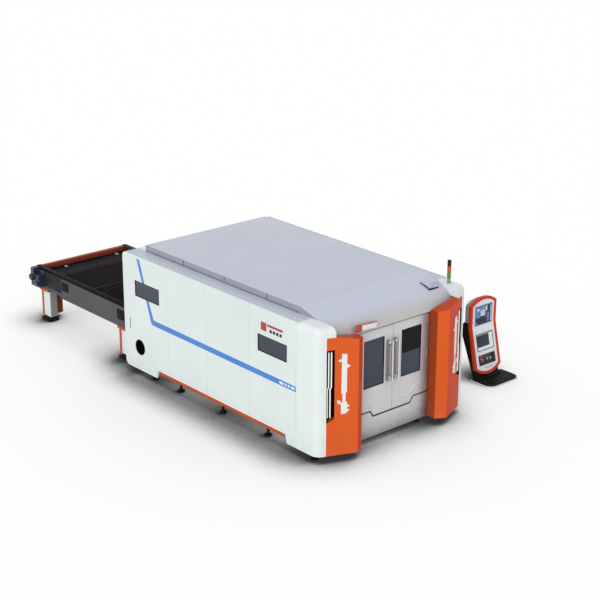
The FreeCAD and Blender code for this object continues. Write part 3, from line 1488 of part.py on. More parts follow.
def console_base():
    """The black plate on a pale one, both with round front corners."""
    def plan(margin):
        left = deck_left - margin
        right = deck_left + deck_width + margin
        front = deck_front - margin
        back = deck_front + deck_length + margin
        radius = deck_corner + margin
        return [
            point(left + radius, front), point(right - radius, front), arc(right, front + radius, radius, 1),
            point(right, back), point(left, back), point(left, front + radius),
        ], radius, left, front

    for name, margin, low, thickness in (("console_plinth", plinth_margin, 0, plinth),
                                         ("console_deck", as_size(0), plinth, deck_wall)):
        corners, radius, left, front = plan(margin)
        corners[0] = arc(left + radius, front, radius, 1)
        finish(prism("XY_Plane", [corners], low, thickness), name)


def console_buttons():
    for name, x in (("start_button", start_x), ("halt_button", halt_x)):
        finish(group([button(x, button_row, button_radius, button_reach, button_sink - inlay)]), name)
    stem = button(stop_x, button_row, button_radius, button_reach, as_size(1))
    cap = button(stop_x, button_row, stop_radius, button_reach + stop_head, -button_travel - 1)
    finish(fused([stem, cap]), "emergency_stop")


# ---------------------------------------------------------------- signal tower
def signal_tower():
    x = width - tower_x
    z = ledge_height
    foot = cylinder(x, tower_y, z, tower_radius * 1.25, tower_base / 8)
    base = cylinder(x, tower_y, z, tower_radius, tower_base)
    finish(fused([foot, base]), "tower_base")
    for name in ("tower_green_lamp", "tower_amber_lamp", "tower_red_lamp"):
        z = z + (tower_base if name == "tower_green_lamp" else lamp_height)
        finish(group([cylinder(x, tower_y, z, tower_radius * 0.95, lamp_height)]), name)


# ---------------------------------------------------------------- the machine
both = ("left", "right")
finish(group([front_cap(side) for side in both]), "front_caps")
finish(group([front_column(side) for side in both]), "front_columns")
finish(group(wall_panels("left") + wall_panels("right")), "side_panels")
for side in both:
    door(side)
side_windows()
duct_collar()
roof_panel()
front_hood()
roof_cowl()
rear_portal()
kick_panel()
door_frame()
bars = document.addObject("Part::Feature", "Bars")
bars.Shape = Part.makeCompound([
    light_bar(side, start)
    for side in both
    for start in (bar_width * 0.4, bar_width * 2)
])
finish(bars, "light_bars")
bed_frame()
gantry_rails()
gantry_beam()
gantry_motors()
carriage()
head_slide()
cutting_head()
table_beams()
table_crossbeams()
buffers()
finish(group(bed_feet() + table_legs()), "floor_feet")
pallet_rails()
chains()
shaft("drive_shaft", shaft_y, table_left + chain_play, across_table(table_left + web + chain_play))
shaft("idler_shaft", idler_place, bed_left + bed_beam + chain_play,
      across_table(bed_left + bed_beam + chain_play))
shaft_bearings()
gear_motor()
upper_y = portal_rear + pallet_place
lower_y = upper_y - pallet_travel
for level, y, down, lug in (("upper", upper_y, 0, "over"), ("lower", lower_y, tier, "under")):
    pallet_frame(f"{level}_pallet", y, down, lug)
    slats(f"{level}_slats", y, as_size(down).value)
    wheelsets(f"{level}_front_wheels", y + axle_place, down)
    wheelsets(f"{level}_rear_wheels", y + pallet_length - axle_place, down)
console_base()
console_post()
console_shell()
console_frame()
console_fascia()
console_screens()
console_keypad()
console_buttons()
signal_tower()

document.recompute()
faults = []
for thing in document.Objects:
    if "Invalid" in thing.State or "Error" in thing.State:
        faults.append(f"{thing.Name} ({thing.Label}): {thing.State}")
for label, thing in subparts.items():
    if thing.Shape.isNull() or not thing.Shape.isValid() or thing.Shape.Volume <= 0:
        faults.append(f"{label}: no valid solid")
if faults:
    raise RuntimeError("; ".join(faults))
os.makedirs("parts", exist_ok=True)
for label, thing in subparts.items():
    thing.Shape.exportStep(f"parts/{label}.step")
    solids = len(thing.Shape.Solids)
    print(f"{label}: {solids} solid(s), {thing.Shape.Volume / 1e6:.2f} dm3")
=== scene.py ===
# %% [markdown]
# # Dressing a sheet cutting machine
#
# The machine is a long white cell with a rounded hood, two orange columns beside the front doors, a
# dark pallet table behind it and a small operator's console at its side. The CAD model already has
# every main shape, so this lesson gives each of them its finish and adds the small pieces that make
# the machine look real: bands, seams, seals, screws, fins and keys. Every piece is placed by a
# measured size, never by eye alone.

# %% Load the frame
import math
import bpy
import bmesh
from mathutils import Matrix, Vector


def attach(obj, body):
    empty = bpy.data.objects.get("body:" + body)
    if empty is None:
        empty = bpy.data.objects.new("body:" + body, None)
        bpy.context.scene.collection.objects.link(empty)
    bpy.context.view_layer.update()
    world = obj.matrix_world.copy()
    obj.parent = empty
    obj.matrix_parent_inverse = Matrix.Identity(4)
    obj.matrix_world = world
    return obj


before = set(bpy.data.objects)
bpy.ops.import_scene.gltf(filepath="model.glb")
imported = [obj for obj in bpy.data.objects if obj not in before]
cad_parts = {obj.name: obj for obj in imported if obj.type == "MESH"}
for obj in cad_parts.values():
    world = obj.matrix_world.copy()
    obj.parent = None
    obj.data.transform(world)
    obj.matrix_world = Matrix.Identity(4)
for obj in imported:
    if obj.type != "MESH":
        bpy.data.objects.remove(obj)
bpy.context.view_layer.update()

# %% [markdown]
# ## One way to say where things are
#
# Drawings of the machine are in millimetres, measured from the left wall, the tips of the front columns
# and the floor. Blender works in metres about the middle of the whole machine. One small function turns
# the first into the second, so every later cell can use the numbers of the drawing.

# %% Places
CELL_WIDTH = 3020
CELL_MIDDLE = CELL_WIDTH / 2
TABLE_MIDDLE = 1170
HALF_WIDTH, HALF_LENGTH = 2.359, 4.025

def spot(x, y, z):
    """Millimetres from the left wall, the column tips and the floor, as a point in metres."""
    return Vector((x / 1000 - HALF_WIDTH, y / 1000 - HALF_LENGTH, z / 1000))

print("front left corner of the cell:", [round(v, 3) for v in spot(0, 0, 0)])

# %% [markdown]
# ## The camera
#
# The photograph was solved for its viewpoint: a long lens, about 25 metres away, 41 degrees round to
# the left and 20 degrees above the level. The roll is a tenth of a degree. A lens is given in millimetres
# on a 36 mm sensor, so a focal length of 1487.5 pixels on a 600 pixel picture is 89.25 mm.

# %% Camera
PICTURE, FOCAL, SHIFT = 600, 1487.5, 2.5
SENSOR = 36
STAND = (-15.159, -18.178, 9.508)
ROUND, TILT, ROLL = -40.85, 90 - 19.9, 0.1
lens_data = bpy.data.cameras.new("photo_camera")
lens_data.sensor_width = SENSOR
lens_data.lens = SENSOR * FOCAL / PICTURE
lens_data.shift_x = SHIFT / PICTURE
lens_data.clip_end = 200
camera = bpy.data.objects.new("photo_camera", lens_data)
bpy.context.scene.collection.objects.link(camera)
turn = (Matrix.Rotation(math.radians(ROUND), 4, "Z")
        @ Matrix.Rotation(math.radians(TILT), 4, "X")
        @ Matrix.Rotation(math.radians(ROLL), 4, "Z"))
camera.matrix_world = Matrix.Translation(STAND) @ turn
bpy.context.scene.camera = camera
print("lens", round(lens_data.lens, 2), "mm")

# %% [markdown]
# ## Light
#
# A product photograph like this is lit by a large bright surround with one broad lamp from the left. The
# surround is the world at a plain grey, and the lamp is a sun with a wide disc, so its shadows are soft.
# The eye and every reflection see white behind the machine, and the light on it stays plain.

# %% Shader nodes
def node(tree, kind, settings=None, **inputs):
    """Adds a shader node, sets its choices, and sets or links its inputs."""
    made = tree.nodes.new("ShaderNode" + kind)
    for key, value in (settings or {}).items():
        setattr(made, key, value)
    for key, value in inputs.items():
        socket = made.inputs[key.replace("_", " ")]
        if isinstance(value, bpy.types.NodeSocket):
            tree.links.new(value, socket)
        else:
            socket.default_value = value
    return made

def maths(tree, how, one, two):
    """One number from two, such as their product or the larger of them."""
    made = node(tree, "Math", {"operation": how})
    tree.links.new(one, made.inputs[0])
    tree.links.new(two, made.inputs[1])
    return made.outputs[0]

def switched(tree, lighting, seen, end):
    """One shader for the rays that carry light, another for camera, glossy and transmission rays."""
    rays = node(tree, "LightPath").outputs
    looking = maths(tree, "MAXIMUM", rays["Is Camera Ray"], rays["Is Glossy Ray"])
    looking = maths(tree, "MAXIMUM", looking, rays["Is Transmission Ray"])
    choice = node(tree, "MixShader", Fac=looking)
    tree.links.new(lighting.outputs[0], choice.inputs[1])
    tree.links.new(seen.outputs[0], choice.inputs[2])
    tree.links.new(choice.outputs[0], node(tree, end).inputs["Surface"])

# %% World and sun
SURROUND, LAMP = 0.62, 1.35
world = bpy.data.worlds.new("studio")
world.use_nodes = True
bpy.context.scene.world = world
tree = world.node_tree
tree.nodes.clear()
around = node(tree, "Background", Color=(0.96, 0.98, 1.0, 1), Strength=SURROUND)
backdrop = node(tree, "Background", Color=(1, 1, 1, 1), Strength=1.0)
switched(tree, around, backdrop, "OutputWorld")

sun_data = bpy.data.lights.new("broad_lamp", "SUN")
sun_data.energy = LAMP
sun_data.angle = math.radians(55)
sun = bpy.data.objects.new("broad_lamp", sun_data)
bpy.context.scene.collection.objects.link(sun)
sun.matrix_world = Vector((-0.78, -0.42, 0.46)).to_track_quat("Z", "Y").to_matrix().to_4x4()
bpy.context.scene.view_settings.view_transform = "Standard"
print("world", SURROUND, "sun", LAMP)

# %% [markdown]
# ## Floor
#
# The floor is pale and fades to plain white. Close to the machine the camera sees a painted soft grey
# shadow: an ambient occlusion node measures how near a point of the floor is to something above it, and
# the floor's brightness follows it. One such node reaches less than a metre and looks a little to the
# front and right, as the lamp's shadow falls, and a second, wide one darkens the floor all round. The
# floor is stage, not machine.

# %% Floor piece
FLOOR_RADIUS = 60
floor_mesh = bmesh.new()
bmesh.ops.create_circle(floor_mesh, cap_ends=True, segments=96, radius=FLOOR_RADIUS)
floor_data = bpy.data.meshes.new("floor")
floor_mesh.to_mesh(floor_data)
floor_mesh.free()
floor = bpy.data.objects.new("floor", floor_data)
bpy.context.scene.collection.objects.link(floor)

# %% Floor shadow
NEAR_REACH, WIDE_REACH = 0.8, 6.0
FADE = [(0.2, 0.03), (0.45, 0.055), (0.55, 0.09), (0.62, 0.2),
        (0.7, 0.4), (0.8, 0.71), (0.9, 0.89), (1.0, 1.0)]
pale = bpy.data.materials.new("pale_floor")
pale.use_nodes = True
tree = pale.node_tree
tree.nodes.clear()
leant = node(tree, "CombineXYZ", X=0.2, Y=-0.3, Z=0.93).outputs[0]
near = node(tree, "AmbientOcclusion", {"samples": 12}, Color=(1, 1, 1, 1), Distance=NEAR_REACH, Normal=leant)
fade = node(tree, "ValToRGB", Fac=near.outputs["AO"])
while len(fade.color_ramp.elements) < len(FADE):
    fade.color_ramp.elements.new(0.5)
for element, (place, grey) in zip(fade.color_ramp.elements, FADE):
    element.position = place
    element.color = (grey, grey, grey, 1)
wide = node(tree, "AmbientOcclusion", {"samples": 8}, Color=(1, 1, 1, 1), Distance=WIDE_REACH)
wide_tone = node(tree, "MapRange", Value=wide.outputs["AO"],
                 From_Min=0.4, From_Max=0.97, To_Min=0.74, To_Max=1.0)
strength = maths(tree, "MULTIPLY", fade.outputs["Color"], wide_tone.outputs[0])
# Painted shadow: the camera sees this glow, whose strength follows the two occlusions.
glow = node(tree, "Emission", Strength=strength, Color=(1, 0.998, 0.992, 1))
matt = node(tree, "BsdfDiffuse", Color=(0.8, 0.8, 0.8, 1))
switched(tree, matt, glow, "OutputMaterial")
floor_data.materials.append(pale)
print("floor radius", FLOOR_RADIUS, "m")

# %% [markdown]
# ## Finishes
#
# Almost everything here is painted sheet steel. Powder paint is never one flat colour: it has a slow
# change of tone over a metre or so, a fine orange peel, a roughness that varies a little, and dust that
# settles near the floor. One function makes such a paint from a colour, and it reads Object coordinates,
# so the pattern stays on a piece when the piece moves. A face that looks up, or sharply to one side, may
# have a tone of its own: that is painted light and shade, lighter or darker for the way the soft studio
# light falls on that side. Deep inner corners may get a darker tone from an ambient occlusion node: that
# is painted shade, and on the doors its tint is a painted reflection of the orange columns.

# %% Colours and shader parts
def colour(code):
    """A colour written as six hex digits, turned into Blender's linear numbers."""
    parts = [int(code[i:i + 2], 16) / 255 for i in (0, 2, 4)]
    return tuple(p / 12.92 if p <= 0.04045 else ((p + 0.055) / 1.055) ** 2.4 for p in parts) + (1,)

def mixed(tree, factor, one, two):
    """The colour between two colours, by a factor."""
    blend = node(tree, "Mix", {"data_type": "RGBA"})
    for socket, value in ((blend.inputs[0], factor), (blend.inputs[6], one), (blend.inputs[7], two)):
        if isinstance(value, bpy.types.NodeSocket):
            tree.links.new(value, socket)
        else:
            socket.default_value = value
    return blend.outputs[2]

def ranged(tree, value, low, high, to_low=0.0, to_high=1.0):
    """A number from one range put into another, and held inside it."""
    return node(tree, "MapRange", Value=value, From_Min=low, From_Max=high,
                To_Min=to_low, To_Max=to_high).outputs[0]

def begin(name, gloss, coat=0.0):
    """A new material: its tree, its main shader and its Object coordinates."""
    made = bpy.data.materials.new(name)
    made.use_nodes = True
    tree = made.node_tree
    shader = tree.nodes["Principled BSDF"]
    shader.inputs["Specular IOR Level"].default_value = gloss
    shader.inputs["Coat Weight"].default_value = coat
    place = node(tree, "TexCoord").outputs["Object"]
    return made, tree, shader, place

def noise(tree, place, scale, detail, rough=0.5):
    """Soft spots, finer with a higher scale."""
    return node(tree, "TexNoise", Vector=place, Scale=scale, Detail=detail, Roughness=rough).outputs["Fac"]

def height_of(tree, place):
    """Metres above the floor, for a piece at rest."""
    return node(tree, "SeparateXYZ", Vector=place).outputs["Z"]

def bumped(tree, shader, height, strength, distance):
    """Dents that only the light sees."""
    dent = node(tree, "Bump", Height=height, Strength=strength, Distance=distance)
    tree.links.new(dent.outputs[0], shader.inputs["Normal"])

# %% Paint
DUST, DUST_HEIGHT = "8E8A82", 0.55
CORNER_SHADE_REACH = 0.4

def paint(name, tone, shade, rough, peel=0.12, dust=0.25, metal=0.0, gloss=0.5,
          top=None, right=None, left=None, front=None, steep=(0.55, 0.95), turned=(0.42, 0.5), corner=None):
    """Powder paint: two close tones, orange peel, uneven gloss and dust near the floor. Painted light and
    shade:
    other tones for faces that look up, right, left or to the front, and a darker tone in inner corners."""
    made, tree, shader, place = begin(name, gloss)
    slow = ranged(tree, noise(tree, place, 0.8, 3), 0.35, 0.65)
    base = mixed(tree, slow, colour(tone), colour(shade))
    facing = node(tree, "SeparateXYZ", Vector=node(tree, "TexCoord").outputs["Normal"]).outputs
    # Painted shade: a darker tone where the occlusion finds something near, as in an inner corner.
    if corner:
        nearby = node(tree, "AmbientOcclusion", {"samples": 8}, Color=(1, 1, 1, 1), Distance=CORNER_SHADE_REACH)
        base = mixed(tree, ranged(tree, nearby.outputs["AO"], 0.5, 0.97, 1.0, 0.0), base, colour(corner))
    # Painted light and shade: another tone for faces that look up, right, left or to the front.
    for code, axis, low, high in ((top, "Z", *steep), (right, "X", *turned),
                                  (left, "X", -0.75, -0.9), (front, "Y", -0.6, -0.9)):
        if code:
            base = mixed(tree, ranged(tree, facing[axis], low, high), base, colour(code))
    settled = ranged(tree, height_of(tree, place), 0.0, DUST_HEIGHT, dust, 0.0)
    smudge = ranged(tree, noise(tree, place, 7, 5, 0.6), 0.4, 0.75)
    base = mixed(tree, maths(tree, "MULTIPLY", settled, smudge), base, colour(DUST))
    tree.links.new(base, shader.inputs["Base Color"])
    uneven = ranged(tree, noise(tree, place, 3.0, 4), 0.3, 0.7, rough - 0.05, rough + 0.07)
    tree.links.new(uneven, shader.inputs["Roughness"])
    shader.inputs["Metallic"].default_value = metal
    bumped(tree, shader, noise(tree, place, 420, 2), peel, 0.0006)
    return made

# Painted light: the top tones make upward faces bluer, and on the walls greyer, for the dim bluish light from
# above.
white_paint = paint("white_powder_paint", "E6EFEB", "E1EAE7", 0.42, top="C3C7D4")
cap_paint = paint("white_corner_paint", "ECF3F1", "E7EEED", 0.40, top="EDEFF4")
# Painted shade: the roof's side faces get darker tones, a different one on each side.
roof_paint = paint("lilac_grey_roof_paint", "C9CDDA", "C4C9DA", 0.34, dust=0, right="A6A9B3", left="A0A3AD")
# Partly a seal, partly painted shade: the grey of the strip along the foot of the roof band.
foot_seal_shade_paint = paint("roof_foot_seal_and_shade_paint", "7A7D88", "71747F", 0.45, dust=0, gloss=0.2)
# Painted shade: the leg covers' faces to the front are grey, for the shade of the table above them.
leg_paint = paint("leg_cover_paint", "E6EFEB", "E1EAE7", 0.42, front="8E9192")
# Painted light and shade on the hood: a lilac tone on upward faces for the bluish light from above, darker
# tones on its side faces, and painted shade and reflection in its corners near the columns.
hood_paint = paint("hood_paint_with_painted_light", "C8C6C1", "C3C1BD", 0.30, dust=0, top="CBD0E0", right="8A8C95",
                   left="9C9FA9", steep=(0.62, 0.93), corner="8D8A8F")
cowl_paint = paint("lilac_cowl_paint", "C9CCDC", "C3C7D8", 0.34, dust=0)
orange_paint = paint("orange_powder_paint", "DC5E21", "D8591E", 0.33, gloss=0.25)
sill_paint = paint("orange_sill_paint", "C4501E", "BC4A1A", 0.36, gloss=0.12)
# Painted shade on the orange legs: darker tones on faces that look to the front or to the left.
brace_paint = paint("orange_leg_paint", "DC5E21", "D8591E", 0.36, gloss=0.15, front="8A3A1C", left="C2502A")
# Painted shade on the columns: darker tones on their tops, on faces turned to the right and on their inner
# returns, for the way the light falls on them.
column_paint = paint("orange_column_paint", "E8652C", "E25F28", 0.33, gloss=0.06, top="C4491F",
                     right="DC420E", left="A04420", turned=(0.3, 0.36))
# Painted shade: a dark orange-red that stands for the end beam's orange paint in shade.
shaded_orange_paint = paint("shaded_orange_paint", "9C3A28", "8C3122", 0.45, dust=0, gloss=0.2)
# Painted shade and reflection: the corner tone darkens the doors and kick panel near the columns, tinted by
# the orange columns.
silver_paint = paint("silver_door_paint", "D9D8DA", "CFCED1", 0.30, peel=0.2, metal=0.35, corner="6F5A54")
dark_paint = paint("dark_grey_machine_paint", "555456", "4B494C", 0.5, gloss=0.2)
pallet_paint = paint("sooty_pallet_paint", "242326", "1B1A1D", 0.6, gloss=0.06, dust=0.03)
flange_paint = paint("blue_black_paint", "18171E", "121118", 0.55, gloss=0.04, dust=0)
# A darker tone for the plates near the beam ends.
dark_steel_paint = paint("dark_end_plate_paint", "333234", "2B2A2D", 0.55, gloss=0.1, dust=0)
black_paint = paint("black_enamel", "191717", "131111", 0.5, gloss=0.04, dust=0.1)
blue_paint = paint("blue_band_paint", "4088D8", "3A80D2", 0.34, dust=0)
motor_paint = paint("blue_motor_paint", "30324C", "282A42", 0.38, gloss=0.35, dust=0.05)
grey_paint = paint("console_grey_paint", "8A8E92", "7F8387", 0.42)
fascia_paint = paint("pale_console_paint", "F6F7FA", "EDEEF4", 0.38, dust=0.1, gloss=0.3)
red_frame_paint = paint("red_orange_frame_paint", "DD3A10", "D0320C", 0.26, gloss=0.15)
print("paints:", len([m for m in bpy.data.materials if "paint" in m.name or "enamel" in m.name]))

# %% [markdown]
# ## Bare metal, glass, rubber and plastic
#
# Bare steel keeps the direction in which it was drawn or ground, so its roughness comes from a noise
# that is stretched along one axis. The laser-safe glass is a dark slate plate with a faint inner haze.
# Rubber and moulded plastic are matt with a fine grain. The chain's links are too many to model one by
# one where hardly any can be seen, so a wave along the strand lays them as a bump. Each function below
# is one family, and the list after them gives each finish its colours.

# %% Metal, moulding, glass and chain
def brushed(name, tone, shade, rough, stretch=(60, 60, 2), metal=1.0, gloss=0.5):
    """Metal with fine lines along the axis whose stretch is the smallest."""
    made, tree, shader, place = begin(name, gloss)
    drawn = node(tree, "Mapping", Vector=place, Scale=stretch).outputs[0]
    lines = noise(tree, drawn, 9, 4, 0.6)
    tone_mix = mixed(tree, ranged(tree, lines, 0.3, 0.7), colour(tone), colour(shade))
    tree.links.new(tone_mix, shader.inputs["Base Color"])
    tree.links.new(ranged(tree, lines, 0.25, 0.75, rough - 0.08, rough + 0.1), shader.inputs["Roughness"])
    shader.inputs["Metallic"].default_value = metal
    bumped(tree, shader, lines, 0.15, 0.0003)
    return made

def grained(name, tone, shade, rough, scale=300, depth=0.2, coat=0.0, gloss=0.5):
    """Matt or glossy moulding with a fine grain."""
    made, tree, shader, place = begin(name, gloss, coat)
    grain = noise(tree, place, scale, 2)
    patches = ranged(tree, noise(tree, place, 12, 3), 0.35, 0.65)
    tree.links.new(mixed(tree, patches, colour(tone), colour(shade)), shader.inputs["Base Color"])
    tree.links.new(ranged(tree, grain, 0.3, 0.7, rough - 0.04, rough + 0.06), shader.inputs["Roughness"])
    bumped(tree, shader, grain, depth, 0.0004)
    return made

def slate(name, tone, shade, low=None, edge=0.0, gloss=0.3, coat=0.1):
    """Dark safety glass. Where a low tone is given, the pane is that tone below a height: painted reflection
    and see-through.
    """
    made, tree, shader, place = begin(name, gloss, coat)
    haze = ranged(tree, noise(tree, place, 1.4, 3), 0.35, 0.65)
    base = mixed(tree, haze, colour(tone), colour(shade))
    if low:
        below = ranged(tree, height_of(tree, place), edge - 0.004, edge + 0.004, 1, 0)
        base = mixed(tree, below, base, colour(low))
    tree.links.new(base, shader.inputs["Base Color"])
    smear = ranged(tree, noise(tree, place, 5, 4), 0.3, 0.7, 0.05, 0.14)
    tree.links.new(smear, shader.inputs["Roughness"])
    bumped(tree, shader, noise(tree, place, 2.5, 1), 0.05, 0.002)
    return made

WAVE_PER_LINK = 0.314
def linked(name, tone, gap, pitch):
    """Roller chain: link plates along the strand, as a wave that turns dark between two links."""
    made, tree, shader, place = begin(name, 0.3)
    scaled = node(tree, "Mapping", Vector=place, Scale=(1 / pitch, 1 / pitch, 1 / pitch)).outputs[0]
    wave = node(tree, "TexWave", {"wave_type": "BANDS", "bands_direction": "Y"},
                Vector=scaled, Scale=WAVE_PER_LINK).outputs["Fac"]
    base = mixed(tree, ranged(tree, wave, 0.1, 0.5), colour(gap), colour(tone))
    tree.links.new(base, shader.inputs["Base Color"])
    tree.links.new(ranged(tree, wave, 0.0, 1.0, 0.6, 0.32), shader.inputs["Roughness"])
    shader.inputs["Metallic"].default_value = 0.8
    bumped(tree, shader, wave, 0.8, 0.003)
    return made

# %% Metals and dark linings
bright_steel = brushed("bright_steel", "D9DADB", "C4C6C8", 0.28)
satin_steel = brushed("satin_handle_steel", "E3E4E5", "D2D4D6", 0.30)
dark_steel = brushed("dark_oiled_steel", "57585B", "3E3F42", 0.42)
slat_steel = brushed("scorched_slat_steel", "3A3634", "201E1E", 0.7, (3, 60, 60), 0.1, 0.1)
handle_shadow_steel = brushed("handle_shadow_plate_steel", "8F8E92", "7D7B80", 0.4, (60, 60, 2), 0.3, 0.3)
aluminium = brushed("milled_aluminium", "C9CCD0", "B9BDC2", 0.35, (60, 2, 60))
chain_links = linked("roller_chain_links", "4A4B4E", "101010", 0.0254)
rubber = grained("black_rubber", "1A1A1A", "131313", 0.75, 500, 0.4, gloss=0.2)
# Black linings and joints, and black sheets that are painted shadow in the duct and under the cowl.
black_and_shadow = grained("matt_black_lining_and_shadow", "070707", "040404", 0.85, 200, 0.2, gloss=0.05)
# Dark seams, slots, marks and lines, and the strip at the kick panel's top edge, which is painted shadow.
seam_dark = grained("seam_shadow", "3A3C40", "2E3034", 0.8, 200, 0.1, gloss=0.2)
faint_seam = grained("faint_seam", "BEC8C5", "B4BFBC", 0.6, 200, 0.1)

# %% Plastics, film, screens and glass
grey_plastic = grained("grey_plastic", "9A9C9E", "8E9092", 0.5)
key_plastic = grained("dark_key_plastic", "2A2D31", "212427", 0.45, gloss=0.25)
brown_plastic = grained("grey_brown_key_plastic", "6E5E57", "5C4D47", 0.5, gloss=0.3)
red_plastic = grained("red_plastic", "C01C10", "A8160B", 0.25, 150, 0.1, 0.4)
orange_plastic = grained("orange_key_plastic", "D8542E", "C84A28", 0.35, 150, 0.1)
green_plastic = grained("green_lamp_plastic", "3FA23C", "2F8F30", 0.22, 150, 0.1, 0.4)
amber_plastic = grained("amber_lamp_plastic", "D9481F", "CC3E1A", 0.22, 150, 0.1, 0.4)
wine_plastic = grained("dark_red_lamp_plastic", "3A0E10", "2C090B", 0.22, 150, 0.1, 0.2, gloss=0.3)
light_plastic = grained("frosted_light_plastic", "F2F1E4", "E4E3D8", 0.25, 150, 0.1, 0.2)
light_channel = grained("light_channel_plastic", "6E6F6C", "646562", 0.4, 150, 0.1, 0.2)
glowing_plastic = grained("lit_light_plastic", "F6F5EA", "ECEBE0", 0.25, 150, 0.1, 0.2)
lit = glowing_plastic.node_tree.nodes["Principled BSDF"].inputs
lit["Emission Color"].default_value = colour("FFFDF0")
lit["Emission Strength"].default_value = 0.3
white_vinyl = grained("white_vinyl", "F8F8F4", "F1F1EC", 0.45, 200, 0.1)
screen_navy, screen_blue, screen_pale, screen_rose, screen_slate = [
    grained("screen_" + name, tone, shade, 0.15, 40, 0.02, gloss=0.3) for name, tone, shade in (
        ("navy", "1C2140", "23284A"), ("blue", "5C8FD6", "79A8E4"), ("pale", "D9E6F4", "C3D6EC"),
        ("rose", "9A5478", "83476A"), ("slate", "2B3044", "343A50"))]
side_glass = slate("side_window_glass", "383E4A", "323844")
left_glass = slate("left_door_glass", "434B58", "3B434F", gloss=0.2, coat=0)
# Painted reflection and see-through: the right door's pane is near black above a height and lighter below it.
right_glass = slate("right_door_glass", "1B211E", "171C1A", low="4A5260", edge=1.285, gloss=0.06, coat=0)
print("materials so far:", len(bpy.data.materials))

# %% Each node gets its finish
dressed = set()
def dress(finish, *names):
    """One finish for several nodes."""
    dressed.update(names)
    for name in names:
        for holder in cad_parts[name].material_slots:
            holder.material = finish

dress(white_paint, "side_panels", "rear_portal")
dress(leg_paint, "leg_covers")
dress(cap_paint, "front_caps")
dress(roof_paint, "roof_panel")
dress(hood_paint, "front_hood")
dress(cowl_paint, "roof_cowl")
dress(column_paint, "front_columns")
dress(sill_paint, "bed_frame")
dress(orange_paint, "gantry_beam")
dress(brace_paint, "table_legs")
dress(silver_paint, "door_left", "door_right", "kick_panel")
dress(dark_paint, "door_frame", "table_beams")
dress(pallet_paint, "table_crossbeams", "pallet_rails", "upper_pallet", "lower_pallet")
dress(side_glass, "side_windows")
dress(left_glass, "door_left_glass")
dress(right_glass, "door_right_glass")
dress(satin_steel, "door_left_handle", "door_right_handle")
dress(light_channel, "light_bars")
dress(bright_steel, "duct_collar", "gantry_rails", "cutting_head",
      "upper_front_wheels", "upper_rear_wheels", "lower_front_wheels", "lower_rear_wheels")
dress(aluminium, "carriage", "head_slide")
dress(black_paint, "floor_feet", "gantry_motors", "console_deck", "console_post")
dress(dark_steel, "drive_shaft", "idler_shaft", "shaft_bearings")
dress(chain_links, "chains")
dress(slat_steel, "upper_slats", "lower_slats")
dress(rubber, "buffers")
dress(motor_paint, "gear_motor")
dress(fascia_paint, "console_plinth", "console_fascia")
dress(red_frame_paint, "console_frame")
dress(grey_paint, "console_shell")
dress(key_plastic, "console_keypad", "console_screens")
dress(grey_plastic, "tower_base", "halt_button")
dress(green_plastic, "tower_green_lamp", "start_button")
dress(amber_plastic, "tower_amber_lamp")
dress(wine_plastic, "tower_red_lamp")
dress(red_plastic, "emergency_stop")
print("nodes without a finish:", sorted(set(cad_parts) - dressed))

# %% [markdown]
# ## Tools for the small pieces
#
# Every added piece is a sheet, a bar, a rod or a ring, drawn in the millimetres of the drawing. A sheet
# starts as one face and is extruded, a bar is a cube scaled to its two corners, a rod is a cone operator
# between two points, and a ring is a face inset all round with its middle taken out. Edges are bevelled,
# because a real edge always catches a thin line of light. The last helper turns the drawing into metres,
# points its faces outwards and makes it ride on the body that carries it.

# %% Drawing helpers
def outline(corners, round_by, steps):
    """One flat face from its corners, its corners rounded."""
    made = bmesh.new()
    made.faces.new([made.verts.new(c) for c in corners])
    if round_by:
        bmesh.ops.bevel(made, geom=made.verts[:], offset=round_by, affect="VERTICES",
                        segments=steps, profile=0.5, material=-1)
    return made

def rimmed(made, width):
    """The rim of one flat face: the face inset all round, and its middle taken out."""
    middle = made.faces[:][0]
    bmesh.ops.inset_region(made, faces=[middle], thickness=width, use_boundary=True, use_even_offset=True)
    bmesh.ops.delete(made, geom=[middle], context="FACES_ONLY")
    return made

def pushed(made, push):
    """Flat faces extruded by a push."""
    grown = bmesh.ops.extrude_face_region(made, geom=made.faces[:])
    moved = [v for v in grown["geom"] if isinstance(v, bmesh.types.BMVert)]
    bmesh.ops.translate(made, vec=Vector(push), verts=moved)
    return made

def sheet(corners, push, round_by=0.0):
    """A flat sheet: an outline extruded by a push."""
    return pushed(outline(corners, round_by, 5), push)

def ring(corners, width, push, round_by=0.0):
    """A flat frame: the rim of an outline, extruded by a push."""
    return pushed(rimmed(outline(corners, round_by, 4), width), push)

def facing_front(left, right, y, bottom, top):
    """The corners of a rectangle that looks to the front."""
    return [(left, y, bottom), (right, y, bottom), (right, y, top), (left, y, top)]

def facing_left(x, front, rear, bottom, top):
    """The corners of a rectangle that looks to the left."""
    return [(x, front, bottom), (x, rear, bottom), (x, rear, top), (x, front, top)]

def bar(low, high):
    """A bar between two corners."""
    made = bmesh.new()
    bmesh.ops.create_cube(made, size=1)
    size = Vector(high) - Vector(low)
    bmesh.ops.scale(made, vec=size, verts=made.verts)
    bmesh.ops.translate(made, vec=(Vector(low) + Vector(high)) / 2, verts=made.verts)
    return made

def rod(one, two, radius, sides, second=None, caps=True):
    """A round bar, tapered where a second radius is given, between two points."""
    made = bmesh.new()
    one, two = Vector(one), Vector(two)
    axis = two - one
    bmesh.ops.create_cone(made, cap_ends=caps, segments=sides, radius1=radius,
                          radius2=radius if second is None else second, depth=axis.length)
    turned = Matrix.Translation((one + two) / 2) @ axis.to_track_quat("Z", "Y").to_matrix().to_4x4()
    bmesh.ops.transform(made, matrix=turned, verts=made.verts)
    return made

# %% Finishing helpers
SHARP_EDGE, SMOOTH_EDGE = math.radians(35), math.radians(34)

